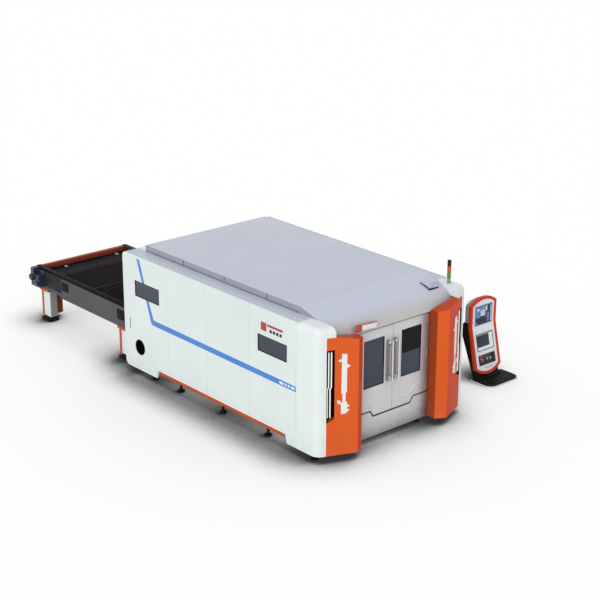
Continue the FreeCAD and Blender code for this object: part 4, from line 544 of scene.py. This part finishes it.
def soften(made, width, steps=2):
    """Rounds every sharp edge."""
    sharp = [e for e in made.edges if e.is_manifold and e.calc_face_angle(0) > SHARP_EDGE]
    bmesh.ops.bevel(made, geom=sharp, offset=width, affect="EDGES", segments=steps,
                    profile=0.5, material=-1, clamp_overlap=True)
    return made

def together(*parts):
    """Several drawings as one."""
    whole = bmesh.new()
    for part in parts:
        page = bpy.data.meshes.new("page")
        part.to_mesh(page)
        part.free()
        whole.from_mesh(page)
        bpy.data.meshes.remove(page)
    return whole

def repeated(make, places):
    """The same drawing at several places."""
    return together(*[make(*place) if isinstance(place, tuple) else make(place) for place in places])

def other_side(made, middle=CELL_MIDDLE):
    """A mirrored drawing, across the plane at that distance from the left wall."""
    mirror = Matrix.Translation((2 * middle, 0, 0)) @ Matrix.Scale(-1, 4, (1, 0, 0))
    bmesh.ops.transform(made, matrix=mirror, verts=made.verts)
    return made

def both_sides(made, middle=CELL_MIDDLE):
    """A drawing of the left side, together with its mirror image."""
    return together(made.copy(), other_side(made, middle))

def bolt(centre, toward, size):
    """A washer and a hexagon head, standing on a face that looks toward a direction."""
    centre, way = Vector(centre), Vector(toward).normalized()
    washer = rod(centre, centre + way * size * 0.18, size * 0.95, 16)
    head = soften(rod(centre, centre + way * size * 0.8, size * 0.72, 6), size * 0.07, 1)
    return together(washer, head)

# %% Finished pieces
TO_FRAME = Matrix.Translation(spot(0, 0, 0)) @ Matrix.Scale(0.001, 4)
SAME_PLACE = 0.000001
added = {}

def piece(name, made, finish, body="machine"):
    """A drawing as a finished object in metres that rides on a body."""
    bmesh.ops.transform(made, matrix=TO_FRAME, verts=made.verts)
    bmesh.ops.remove_doubles(made, verts=made.verts, dist=SAME_PLACE)
    bmesh.ops.recalc_face_normals(made, faces=made.faces)
    data = bpy.data.meshes.new(name)
    made.to_mesh(data)
    made.free()
    data.shade_smooth()
    data.set_sharp_from_angle(angle=SMOOTH_EDGE)
    data.materials.append(finish)
    thing = bpy.data.objects.new(name, data)
    bpy.context.scene.collection.objects.link(thing)
    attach(thing, body)
    added[name] = len(data.polygons)
    print(name, len(data.polygons), "faces on", body)

# %% [markdown]
# ## Bands and marks on the side walls
#
# A strip of coloured film runs along each side wall, bends up near the back and goes on above the rear
# window. It is less than a millimetre thick, but as real geometry it keeps crisp edges at any size. Its
# corners come from the drawing, and the right wall gets the same band mirrored. Four pale dashes, a red
# square, a red stripe and four dark blocks are cut from such film too, for the left wall alone.

# %% Film on the walls
def film(corners, lift, thick, round_by=0.0):
    """Flat film on the left wall: its corners along and up the wall, and its lift off the wall."""
    return sheet([(-lift, y, z) for y, z in corners], (thick, 0, 0), round_by)

def side_band():
    """The long run with its bend, and the part above the rear window."""
    long_run = [(4354, 1399), (4222, 1029), (4184, 1018), (679, 1006),
                (692, 1093), (4149, 1110), (4160, 1112), (4285, 1399)]
    upper = [(4450, 1669), (4586, 2045), (4513, 2045), (4380, 1669)]
    return together(film(long_run, 0.8, 0.75), film(upper, 0.8, 0.75))

def end_dash(y, wide):
    """A short pale dash with slanted ends, on the band."""
    return film([(y, 1030), (y + wide, 1030.5), (y + wide + 10, 1069), (y + 10, 1068.5)], 1.1, 0.25)

def wall_mark(low, high, bottom, top):
    """A plain block with slightly rounded corners."""
    return film([(low, bottom), (high, bottom), (high, top), (low, top)], 0.9, 0.7, 4)

piece("side_bands", both_sides(side_band()), blue_paint)
piece("side_band_dashes", repeated(end_dash, [(712, 70), (812, 40), (882, 40), (952, 90)]),
      white_vinyl)
piece("wall_mark_red", repeated(wall_mark, [(1336, 1462, 1746, 1876), (970, 1318, 1832, 1870)]),
      red_plastic)
piece("wall_mark_dark", repeated(wall_mark, [(y, y + 52, 1750, 1800) for y in (992, 1066, 1140, 1214)]),
      seam_dark)

# %% [markdown]
# ## Seams, seals and the latch of the side walls
#
# The side panels meet in narrow seams. A pale strip lies deep in each seam, so that the seam reads as a
# fine line and not as a black gap, and one more fine line marks the joint beside each corner cap. Each
# window lies in a black rubber seal, which is a flat ring in the recess. A slim latch slot sits near the
# rear edge.

# %% Wall seams and seals
def seam_strip(y):
    return bar((0.9, y - 3.2, 470), (3.5, y + 3.2, 2086))

def window_seal(y):
    """A flat ring round the window whose front edge is at y."""
    return ring(facing_left(4, y - 1, y + 663, 1399, 1669), 11, (6.5, 0, 0), 9)

def latch_slot():
    """A raised edge with the slot's dark cut in it."""
    edge = soften(bar((-0.9, 4812, 786), (0.6, 4827, 986)), 0.5)
    cut = bar((-1.2, 4816.5, 800), (-0.7, 4822.5, 972))
    return together(edge, cut)

piece("wall_seam_strips", both_sides(repeated(seam_strip, [1750, 2780, 3770])), faint_seam)
piece("cap_seam_lines", both_sides(bar((-0.5, 686, 470), (0.4, 690, 1440))), faint_seam)
piece("window_seals", both_sides(repeated(window_seal, [880, 3995])), rubber)
piece("latch_slots", both_sides(latch_slot()), seam_dark)

# %% [markdown]
# ## Roof edge, cowl and hood
#
# The raised roof stands on a band whose darker tone is painted shade. Four black joints cross that band
# where the roof sheets meet, three fine lines carry them on over the roof, and a dark strip along the
# band's foot is partly a seal and partly painted shade. Under the cowl's front edges on the hood, a black
# sheet is painted shadow in the gap, and a rim runs round its front opening. A plain white plate with a
# red square and a red stripe hangs on the hood's front edge.

# %% Roof edge
SHEET_JOINTS = [1650, 2660, 3688, 4675]

def joint(y):
    """A black joint down the band, at the left edge of the roof."""
    return bar((268.6, y - 5, 2069), (270.6, y + 5, 2184))

def overlap(y):
    """A fine line across the roof, from edge to edge."""
    return bar((272, y - 1.6, 2189.4), (2748, y + 1.6, 2190.5))

# The dark strip at the band's foot is partly a seal and partly painted shade.
foot = soften(bar((262, 905, 2088.4), (270.5, 4688, 2103)), 2.5)
piece("roof_joints", both_sides(repeated(joint, SHEET_JOINTS)), black_and_shadow)
piece("roof_foot_seals_and_shade", both_sides(foot), foot_seal_shade_paint)
piece("roof_sheet_lines", repeated(overlap, SHEET_JOINTS[:3]), faint_seam)

# %% Cowl gap and rim
def cowl_gap_shadow():
    """The V of a black sheet under the cowl's front edge, painted shadow in the gap: from the left tip down
    to the front corner, then level to the right.
    """
    x = 2438.6
    left = sheet([(x, 658, 2125), (x, 560, 2099), (x, 500, 2079), (x, 449, 2055), (x, 449, 2086),
                  (x, 500, 2105), (x, 560, 2122), (x, 658, 2138)], (2, 0, 0))
    front = sheet([(x, 448.6, 2055), (2641, 448.6, 2055), (2641, 448.6, 2074), (x, 448.6, 2086)], (0, 1.6, 0))
    return together(left, front)

rim = ring([(2446, 447, 2092), (2636, 447, 2080), (2636, 447, 2164), (2446, 447, 2164)], 7, (0, 3.4, 0), 10)
piece("cowl_gap_shadow", cowl_gap_shadow(), black_and_shadow)
piece("cowl_rim", soften(rim, 1), cowl_paint)

# %% Plate on the hood
def hanging(left, right, y, bottoms, tops, thick, round_by):
    """A sheet in front of the hood: its ends, and how low and high it is at each end."""
    corners = [(left, y, bottoms[0]), (right, y, bottoms[1]), (right, y, tops[1]), (left, y, tops[0])]
    return sheet(corners, (0, thick, 0), round_by)

plate = hanging(728, 1150, 231, (1872, 1852), (1970, 1950), 4, 6)
square = hanging(728, 858, 229.9, (1868, 1862), (1978, 1972), 1.2, 4)
stripe = hanging(868, 1150, 229.9, (1948, 1934), (1965, 1951), 1.2, 3)
piece("hood_plate", soften(plate, 0.8), white_vinyl)
piece("hood_plate_field", together(square, stripe), red_plastic)

# %% [markdown]
# ## Front columns
#
# Each column's outer face is turned to the side, so places on it are given as a distance along the face,
# a depth into it and a height. The light slot is lined in black and its floor is an orange slope. Two
# light bars stand in it: the CAD model has their grey channels, and each gets a pale diffuser that shines
# a little, with a dark line beside it. Beside the slot, plain white shapes decorate the face. They are
# flat film again, and on the right column they stand a little nearer to the slot.

# %% Places on a column's face
COLUMN_EDGE = (140, 184)
FACE_COS, FACE_SIN = 0.9256, 0.3785

def on_column(along, depth, z):
    """A place on the left column: along its outer face, into it, and up."""
    return Vector((COLUMN_EDGE[0] + FACE_COS * along + FACE_SIN * depth,
                   COLUMN_EDGE[1] - FACE_SIN * along + FACE_COS * depth, z))

def face_sheet(places, depth, thick, round_by=0.0):
    """A sheet that lies along the face, from places along it and up."""
    inwards = on_column(0, thick, 0) - on_column(0, 0, 0)
    return sheet([on_column(along, depth, z) for along, z in places], inwards, round_by)

def slot_wall(along, bottom):
    """A wall of the slot, at right angles to the face."""
    places = [(0.6, bottom), (44, bottom), (44, 1751), (0.6, 1751)]
    sideways = on_column(1.2, 0, 0) - on_column(0, 0, 0)
    return sheet([on_column(along, depth, z) for depth, z in places], sideways)

print("column face at 118 mm:", [round(v) for v in on_column(118, 0, 0)])

# %% Slot lining
def slot_lining():
    """Back, two walls and top of the slot, then the black trim on the face round it."""
    back = face_sheet([(0.5, 658), (117.5, 718), (117.5, 1751), (0.5, 1751)], 43.6, 1.2)
    lid = [(0.5, 0.6), (117.5, 0.6), (117.5, 44), (0.5, 44)]
    top = sheet([on_column(along, depth, 1750.6) for along, depth in lid], (0, 0, 1.2))
    rim = face_sheet([(117, 714), (122, 712), (122, 1757), (0, 1757), (0, 1750), (117, 1750)], -0.5, 0.9)
    edge = face_sheet([(0.5, 652), (8, 657), (8, 1757), (0.5, 1757)], -0.5, 0.9)
    foot = face_sheet([(0.5, 646), (122, 706), (118, 722), (0.5, 663)], -0.5, 0.9)
    return together(back, slot_wall(116.6, 716), top, rim, edge, foot, slot_wall(0.4, 658))

slope = soften(face_sheet([(0, 657.5), (117.5, 657.5), (117.5, 715)], 0.2, 44), 1.2)
piece("slot_linings", both_sides(slot_lining()), black_and_shadow)
piece("slot_slopes", both_sides(slope), orange_paint)

# %% Light bars
def along_bar(middle, half, depth, thick):
    """A strip that runs up a light bar and steps aside where the bar does."""
    low, high, step = middle - half, middle + half, 18.2
    places = [(low, 722), (high, 722), (high, 1159), (high + step, 1195),
              (high + step, 1722), (low + step, 1722), (low + step, 1197), (low, 1161)]
    return face_sheet(places, depth, thick)

fronts = together(*[soften(along_bar(middle, 6.5, 13, 16.5), 2) for middle in (20, 62)])
lines = together(*[along_bar(middle, 1.4, 28.6, 1.2) for middle in (32, 74)])
piece("light_bar_fronts", both_sides(fronts), glowing_plastic)
piece("light_bar_lines", both_sides(lines), seam_dark)

# %% White shapes on the columns
RIGHT_SHIFT = -48
SHAPES = [
    [(224, 1080), (308, 1092), (308, 1676), (230, 1690)],
    [(170, 1586), (222, 1562), (222, 1616)],
    [(310, 1460), (362, 1494), (310, 1526)],
    [(242, 942), (290, 948), (290, 1092), (242, 1084)],
    [(168, 938), (220, 912), (220, 962), (168, 990)],
    [(222, 758), (312, 772), (312, 950), (222, 942)],
    [(314, 850), (358, 888), (314, 904)],
    [(314, 786), (354, 822), (314, 836)],
]

def column_shapes(shift):
    """All shapes, moved along the left column's face."""
    return together(*[face_sheet([(along + shift, z) for along, z in corners], -0.9, 0.8, 3)
                      for corners in SHAPES])

piece("column_bars", together(column_shapes(0), other_side(column_shapes(RIGHT_SHIFT))),
      white_vinyl)

# %% [markdown]
# ## Doors and kick panel
#
# A bright strip lies in each door's ornamental groove, with its bends where the groove bends. The
# windows have black seals, and a rubber strip closes the gap between the two leaves. A satin steel plate
# lies behind each handle and stands for the handle's shadow and reflection on the door: painted shadow
# and reflection. The handle stands on round rosettes, and hinge plates with two screws each sit at the
# outer edge. All of it rides on its own leaf, so it opens with the door. Below the doors, a dark strip
# follows the stepped top edge of the kick panel, a painted shadow of the gap and step there, and six
# screws hold the panel.

# %% One door's pieces
FORWARD = (0, -1, 0)

def groove_strip():
    """The strip in the left door's groove: outer run, slant and inner run."""
    path = [(939, 723), (939, 707), (1043, 707), (1134.5, 607),
            (1321, 607), (1321, 623), (1148.5, 623), (1057, 723)]
    return soften(sheet([(x, 252.6, z) for x, z in path], (0, 3.4, 0)), 0.8)

def glass_seal():
    return ring(facing_front(926, 1334, 258.5, 921, 1682), 7, (0, 8, 0), 5)

def handle_shadow_plate(start, end):
    """The plate behind a handle, from one x to another: a painted shadow and reflection of the handle on the
    door.
    """
    return soften(sheet(facing_front(start, end, 253.4, 932, 1588), (0, 1.7, 0), 26), 0.6)

def rosette(z):
    """A broad disc and a narrower one under a handle's end."""
    return together(soften(rod((1445, 254.8, z), (1445, 248.5, z), 24, 32), 1.5),
                    soften(rod((1445, 249, z), (1445, 242, z), 17, 32), 1.2))

def hinge_plate(z):
    return together(soften(bar((768, 251.5, z - 60), (806, 255, z + 60)), 1),
                    bolt((787, 251.6, z - 40), FORWARD, 7), bolt((787, 251.6, z + 40), FORWARD, 7))

# %% Both doors
def door_pieces(leaf, flip, shadow_plate_ends):
    """Everything that rides on one leaf, drawn for the left one and flipped for the right one."""
    for part, made, finish, slot in (
            ("_strip", flip(groove_strip()), white_vinyl, "bright_steel"),
            ("_handle_shadow_plate", handle_shadow_plate(*shadow_plate_ends), handle_shadow_steel, "bright_steel"),
            ("_glass_seal", flip(glass_seal()), rubber, "rubber"),
            ("_top_seal", flip(bar((762, 253.9, 1811), (1508, 255.2, 1823))), seam_dark, "dark_grey_enamel"),
            ("_rosettes", flip(repeated(rosette, [985, 1535])), satin_steel, "bright_steel"),
            ("_hinge_plates", flip(repeated(hinge_plate, [640, 1180, 1720])), satin_steel, "bright_steel")):
        piece(leaf + part, made, finish, leaf)

door_pieces("door_left", lambda made: made, (1372, 1438))
door_pieces("door_right", other_side, (1580, 1514))
piece("door_middle_seal", bar((1508.3, 262, 470), (1509.8, 290, 1828)), rubber, "door_left")

# %% Kick panel
def kick_shadow_strip():
    """Half of the dark strip along the kick panel's stepped top edge: a painted shadow of the gap and step.
    """
    path = [(752, 552), (752, 530), (1061, 530), (1127, 437),
            (1510, 437), (1510, 462), (1138, 462), (1072, 552)]
    return sheet([(x, 254.3, z) for x, z in path], (0, 1, 0))

screws = repeated(lambda x: bolt((x, 255, 160), FORWARD, 6), [820, 1100, 1380, 1640, 1920, 2200])
piece("kick_panel_shadow_strip", both_sides(kick_shadow_strip()), seam_dark)
piece("kick_panel_screws", screws, satin_steel)

# %% [markdown]
# ## Duct
#
# The round duct in the left wall is a short steel tube. A black tube inside it and a black disc near its
# end are painted shade: they stand for the dark of the bore. A flat rubber gasket lies on the wall, and a
# thin pale hoop edges the gasket. A hoop is made by a spin: something small is laid at its top and
# carried once round the duct's axis.

# %% Duct lining, hoop and gasket
DUCT_Y, DUCT_Z = 4560, 528
HOOP_RADIUS, HALF_HOOP = 133, 2.6

# Painted shade: a black tube and a black disc near its end stand for the dark of the bore.
def duct_shadow_lining():
    tube = rod((1.5, DUCT_Y, DUCT_Z), (89, DUCT_Y, DUCT_Z), 117.6, 48, caps=False)
    cover = rod((84, DUCT_Y, DUCT_Z), (88, DUCT_Y, DUCT_Z), 117.4, 48)
    return together(tube, cover)

def duct_rim():
    """A thin flat hoop: a small level circle at its top, spun round the duct's axis."""
    hoop = bmesh.new()
    bmesh.ops.create_circle(hoop, cap_ends=False, segments=8, radius=HALF_HOOP,
                            matrix=Matrix.Translation((-1.4, DUCT_Y, DUCT_Z + HOOP_RADIUS)))
    bmesh.ops.spin(hoop, geom=hoop.verts[:] + hoop.edges[:], cent=(0, DUCT_Y, DUCT_Z), axis=(1, 0, 0),
                   angle=math.tau, steps=64, use_merge=True)
    return hoop

def duct_gasket():
    """A flat rubber ring on the wall."""
    made = bmesh.new()
    on_wall = Matrix.Translation((-1.6, DUCT_Y, DUCT_Z)) @ Matrix.Rotation(math.pi / 2, 4, "Y")
    bmesh.ops.create_circle(made, cap_ends=True, segments=64, radius=132, matrix=on_wall)
    return soften(pushed(rimmed(made, 14.5), (1.7, 0, 0)), 0.5)

piece("duct_gasket", duct_gasket(), rubber)
piece("duct_shadow_lining", duct_shadow_lining(), black_and_shadow)
piece("duct_rim", duct_rim(), faint_seam)

# %% [markdown]
# ## Pallet table
#
# The table's side beams are rolled channels. A blue-black skin covers each upper flange and the strip of
# web just below it, and a darker plate stiffens each beam near its end. Cover plates with screws are let
# into the webs, and a row of bolts holds each splice. The end beam is dark outside. Its upper inner face
# and its top are a dark orange-red that stands for orange paint in shade: painted shade. Four bright
# buffer heads sit below. Two thin rods tie the upper pallet's sides together, and ride on it.

# %% Beam covers and bolts
COVERS = [(7017, 7240, 746, 905), (5300, 5520, 711, 895)]
LEFT = (-1, 0, 0)

def cover_plate(front, rear, bottom, top):
    return soften(bar((206.4, front, bottom), (210.2, rear, top)), 1.2)

def cover_groove(front, rear, bottom, top):
    """The black line pressed into a cover, 10 mm from its edge."""
    return ring(facing_left(205.9, front + 10, rear - 10, bottom + 10, top - 10), 5, (0.9, 0, 0))

def cover_screws(front, rear, bottom, top):
    return repeated(lambda y, z: bolt((206.4, y, z), LEFT, 5),
                    [(y, z) for y in (front + 22, rear - 22) for z in (bottom + 22, top - 22)])

def splice_bolt(y, z):
    return bolt((210, y, z), LEFT, 8)

splices = [(y, z) for y in (5060, 5120, 5180, 7640, 7700) for z in (700, 880)]
for name, make, places, finish, slot in (
        ("beam_covers", cover_plate, COVERS, pallet_paint, "dark_grey_enamel"),
        ("beam_cover_lines", cover_groove, COVERS, black_and_shadow, "black_enamel"),
        ("beam_screws", cover_screws, COVERS, dark_steel, "dark_steel"),
        ("beam_bolts", splice_bolt, splices, dark_steel, "dark_steel")):
    piece(name, both_sides(repeated(make, places), TABLE_MIDDLE), finish)

# %% Skins, end plates and the red end
BEAM_START, BEAM_END = 4984, 8049

def beam_skin():
    """The skin on a beam's flange, and the strip of its web below."""
    corners = [(209.5, BEAM_START, 1006.8), (288.4, BEAM_START, 1006.8),
               (288.4, BEAM_END, 1006.8), (209.5, BEAM_END, 1006.8)]
    return together(soften(sheet(corners, (0, 0, 0.9)), 0.3),
                    soften(bar((207.6, BEAM_START, 956), (210, BEAM_END, 1005.8)), 0.6))

def shaded_end():
    """The inner face of the end beam and its top, in a dark orange-red that is painted shade."""
    return together(soften(bar((222, 7967.6, 921), (2118, 7970.2, 996)), 0.8),
                    soften(bar((222, 7967.6, 996.4), (2118, BEAM_END, 998.2)), 0.6))

end_plate = soften(bar((207.2, 7262, 676), (210, 7806, 950)), 0.8)
piece("flange_skins", both_sides(beam_skin(), TABLE_MIDDLE), flange_paint)
piece("beam_end_plates", both_sides(end_plate, TABLE_MIDDLE), dark_steel_paint)
piece("end_beam_shaded_face", shaded_end(), shaded_orange_paint)

# %% Buffer heads and tie rods
def buffer_head(x, z):
    """A rounded head in front of the rubber, and its neck on the end beam."""
    head = soften(rod((x, 7930, z), (x, 7914, z), 25, 28), 6, 3)
    neck = rod((x, 7967, z), (x, 7960, z), 26, 24)
    return together(head, neck)

def tie_rod(y, z):
    return rod((393, y, z), (1947, y, z), 4, 12)

buffers = [(x, z) for x in (762, 1865) for z in (882, 808)]
ties = repeated(tie_rod, [(7616, 911), (6500, 930)])
piece("buffer_heads", repeated(buffer_head, buffers), light_plastic)
piece("end_light_line", soften(bar((300, 7964, 789), (2040, 7970.4, 799)), 1.5), aluminium)
piece("pallet_tie_rods", ties, dark_steel, "upper_pallet")

# %% [markdown]
# ## Gear motor
#
# The drive at the table's end is a cast gear case with a finned motor and a round cover. The cooling
# fins are discs just larger than the motor, so each shows only as a thin edge, and the case has bolts at
# its corners.

# %% Motor details
MOTOR_Y, MOTOR_Z, FIN_STEP = 7987, 836, 5.2
CAP_Y, CAP_Z, CAP_BOLTS = 7857, 731, 6

def motor_fin(x):
    return soften(rod((x, MOTOR_Y, MOTOR_Z), (x + 2.6, MOTOR_Y, MOTOR_Z), 62, 36), 0.8, 1)

def motor_bolts():
    """Bolts at the corners of the gear case, and a ring of smaller ones on its cap."""
    case = [(81, y, z) for y in (7812, 7938) for z in (690, 776, 876)]
    case += [(81, y, z) for y in (7972, 8030) for z in (914, 984)]
    turns = [k * math.tau / CAP_BOLTS for k in range(CAP_BOLTS)]
    cap = [(50, CAP_Y + 32 * math.cos(turn), CAP_Z + 32 * math.sin(turn)) for turn in turns]
    return together(*[bolt(place, LEFT, 8) for place in case],
                    *[bolt(place, LEFT, 5) for place in cap])

def motor_cover():
    return soften(rod((37.2, MOTOR_Y, MOTOR_Z), (28, MOTOR_Y, MOTOR_Z), 57, 36, 48), 2)

piece("motor_fins", repeated(motor_fin, [44 + FIN_STEP * k for k in range(7)]), motor_paint)
piece("motor_bolts", motor_bolts(), bright_steel)
piece("motor_end_cover", motor_cover(), motor_paint)

# %% [markdown]
# ## Leg covers
#
# A white cover of bent sheet closes each of the table's legs. Four small screws hold it from the side,
# and each is a washer with a hexagon head, from the same function as every other screw here.

# %% Screws of the leg covers
def leg_screws(front, high):
    return repeated(lambda y, z: bolt((245, y, z), LEFT, 5),
                    [(y, z) for y in (front + 24, front + 183) for z in (125, high - 30)])

screws = repeated(leg_screws, [(7708, 577), (5251, 537)])
piece("leg_cover_screws", both_sides(screws, TABLE_MIDDLE), satin_steel)

# %% [markdown]
# ## Operator's console
#
# The console's upper part stands upright and its lower part leans, so a place on the front is given by
# its height and a lift off the face. The upper screen shows a plain made-up picture of a control page,
# the lower one is dark with a white border, and the keypad has rows of small keys. A row of small
# sockets ends the panel. The back has only what such a housing needs: louvres, a lid and its lock.

# %% Places on the console
BREAK_HEIGHT, FOOT_HEIGHT, FOOT_FRONT, TOP_FRONT = 900, 60, 815, 1000
LEAN_BACK, LEAN_UP = TOP_FRONT - FOOT_FRONT, BREAK_HEIGHT - FOOT_HEIGHT
LEAN = math.hypot(LEAN_BACK, LEAN_UP)

def on_console(x, z, lift=0.0):
    """A place on the console's front: upright above the break, leaning below it."""
    if z >= BREAK_HEIGHT:
        return Vector((x, TOP_FRONT - lift, z))
    y = FOOT_FRONT + (z - FOOT_HEIGHT) * LEAN_BACK / LEAN_UP
    return Vector((x, y - lift * LEAN_UP / LEAN, z + lift * LEAN_BACK / LEAN))

def tile(x_low, x_high, z_low, z_high, lift=1.4, thick=1.3, round_by=0.0):
    """A thin tile on the console's front, with its face at a lift."""
    corners = [on_console(x_low, z_low, lift), on_console(x_high, z_low, lift),
               on_console(x_high, z_high, lift), on_console(x_low, z_high, lift)]
    return sheet(corners, on_console(0, z_low, -thick) - on_console(0, z_low), round_by)

# %% Upper screen
edge = [on_console(x, z, 3.5) for x, z in ((4104, 901), (4498, 901), (4498, 1231), (4104, 1231))]
blues = [(4120, 4330, 1112, 1212, 1.9), (4120, 4214, 1030, 1104, 1.9),
         (4392, 4424, 930, 1090, 1.9), (4120, 4150, 916, 960, 1.9)]
pales = [(4224, 4330, 1052, 1150, 2.3), (4340, 4380, 1120, 1212, 2.3),
         (4140, 4200, 1150, 1190, 2.3), (4460, 4482, 930, 1200, 2.3)]
roses = [(4318, 4372, 1010, 1108, 2.1), (4436, 4452, 1110, 1206, 2.1)]
piece("upper_screen_bezel", soften(ring(edge, 9, (0, 3.4, 0), 8), 1), grey_plastic)
piece("upper_screen_page", tile(4112, 4490, 908, 1224), screen_navy)
piece("upper_screen_blue", repeated(tile, blues), screen_blue)
piece("upper_screen_pale", repeated(tile, pales), screen_pale)
piece("upper_screen_rose", repeated(tile, roses), screen_rose)

# %% Lower screen
marks = [(4128, 4180, 600, 720, 2.4), (4196, 4300, 706, 720, 2.4)]
piece("lower_screen_edge", tile(4108, 4494, 482, 759, 1.0, 1.0, 6), screen_slate)
piece("lower_screen_border", tile(4116, 4478, 494, 744, 1.5, 1.0, 4), white_vinyl)
piece("lower_screen_page", tile(4116, 4392, 545, 738, 2.0, 1.0, 3), screen_slate)
piece("lower_screen_marks", repeated(tile, marks), key_plastic)

# %% Keypad and buttons
SOCKET_HEIGHT = 196

def keys(x_list, z_list, wide, high):
    """Rows of low keys with rounded edges."""
    return together(*[soften(tile(x, x + wide, z, z + high, 4.5, 4.5, 2), 0.8, 1)
                      for x in x_list for z in z_list])

def collar(x, z, radius):
    """The steel ring under a button."""
    return soften(rod(on_console(x, z, 0.2), on_console(x, z, 3.4), radius, 32), 1)

def socket(x):
    return rod(on_console(x, SOCKET_HEIGHT, 0.1), on_console(x, SOCKET_HEIGHT, 1.6), 8, 20)

middle_keys = keys([4210 + 27 * k for k in range(6)], [352, 374, 396], 20, 14)
side_keys = keys([4410, 4437, 4464], [262, 284, 352, 374, 396], 18, 12)
piece("keypad_keys", middle_keys, brown_plastic)
piece("keypad_red_keys", keys([4132, 4159], [372, 396], 20, 14), orange_plastic)
piece("keypad_side_keys", side_keys, key_plastic)
piece("button_collars", repeated(collar, [(4167, 333, 26), (4300, 333, 18), (4370, 333, 18)]),
      satin_steel)
piece("console_sockets", repeated(socket, [4250, 4300, 4350, 4400]), key_plastic)

# %% Console back
def louvre(z):
    return soften(bar((4150, 1159.6, z), (4450, 1164.5, z + 9)), 1.8)

lid_line = ring(facing_front(4060, 4540, 1159.8, 985, 1300), 6, (0, 1.6, 0), 12)
lock = together(soften(rod((4500, 1160, 1140), (4500, 1166, 1140), 11, 24), 1.5),
                bolt((4500, 1165, 1140), (0, 1, 0), 4))
piece("console_louvres", repeated(louvre, [1040 + 24 * k for k in range(6)]), seam_dark)
piece("console_lid_line", soften(lid_line, 0.6), seam_dark)
piece("console_lock", lock, satin_steel)

# %% [markdown]
# ## Signal tower
#
# Three lamps stand on a grey base. Black rings part the lamps, and the top one ends in a shallow cap.
# Ribs in a lamp's lens scatter its light, and a sleeve of six short rounded rings stands for them. Four
# bolts hold the base on the roof.

# %% Tower rings, sleeves and cap
TOWER_X, TOWER_Y = 2850, 444
RIB_HEIGHT, RIB_STEP = 14, 14.2

def disc(low, high, radius, sides, second=None):
    """An upright disc on the tower's axis."""
    return rod((TOWER_X, TOWER_Y, low), (TOWER_X, TOWER_Y, high), radius, sides, second)

def tower_ring(z):
    return soften(disc(z - 3, z + 3, 27.6, 32), 1)

def rib(z):
    return soften(disc(z, z + RIB_HEIGHT, 31, 24), 2.5, 1)

def sleeve(low):
    return repeated(rib, [low + RIB_STEP * k for k in range(6)])

def foot_bolt(x, y):
    return bolt((x, y, 2088), (0, 0, 1), 4)

piece("tower_rings", repeated(tower_ring, [2166, 2261, 2356]), key_plastic)
piece("tower_green_lens", sleeve(2169), green_plastic)
piece("tower_amber_lens", sleeve(2264), amber_plastic)
piece("tower_red_lens", sleeve(2359), wine_plastic)
piece("tower_cap", soften(disc(2447, 2453, 26.5, 32, 20), 1.5), key_plastic)
piece("tower_foot_bolts", repeated(foot_bolt, [(2812, 444), (2888, 444), (2850, 406), (2850, 482)]),
      satin_steel)

# %% [markdown]
# ## Closing
#
# The last line counts the added pieces and their faces.

# %% Count of added pieces
print("added pieces:", len(added), "faces:", sum(added.values()))
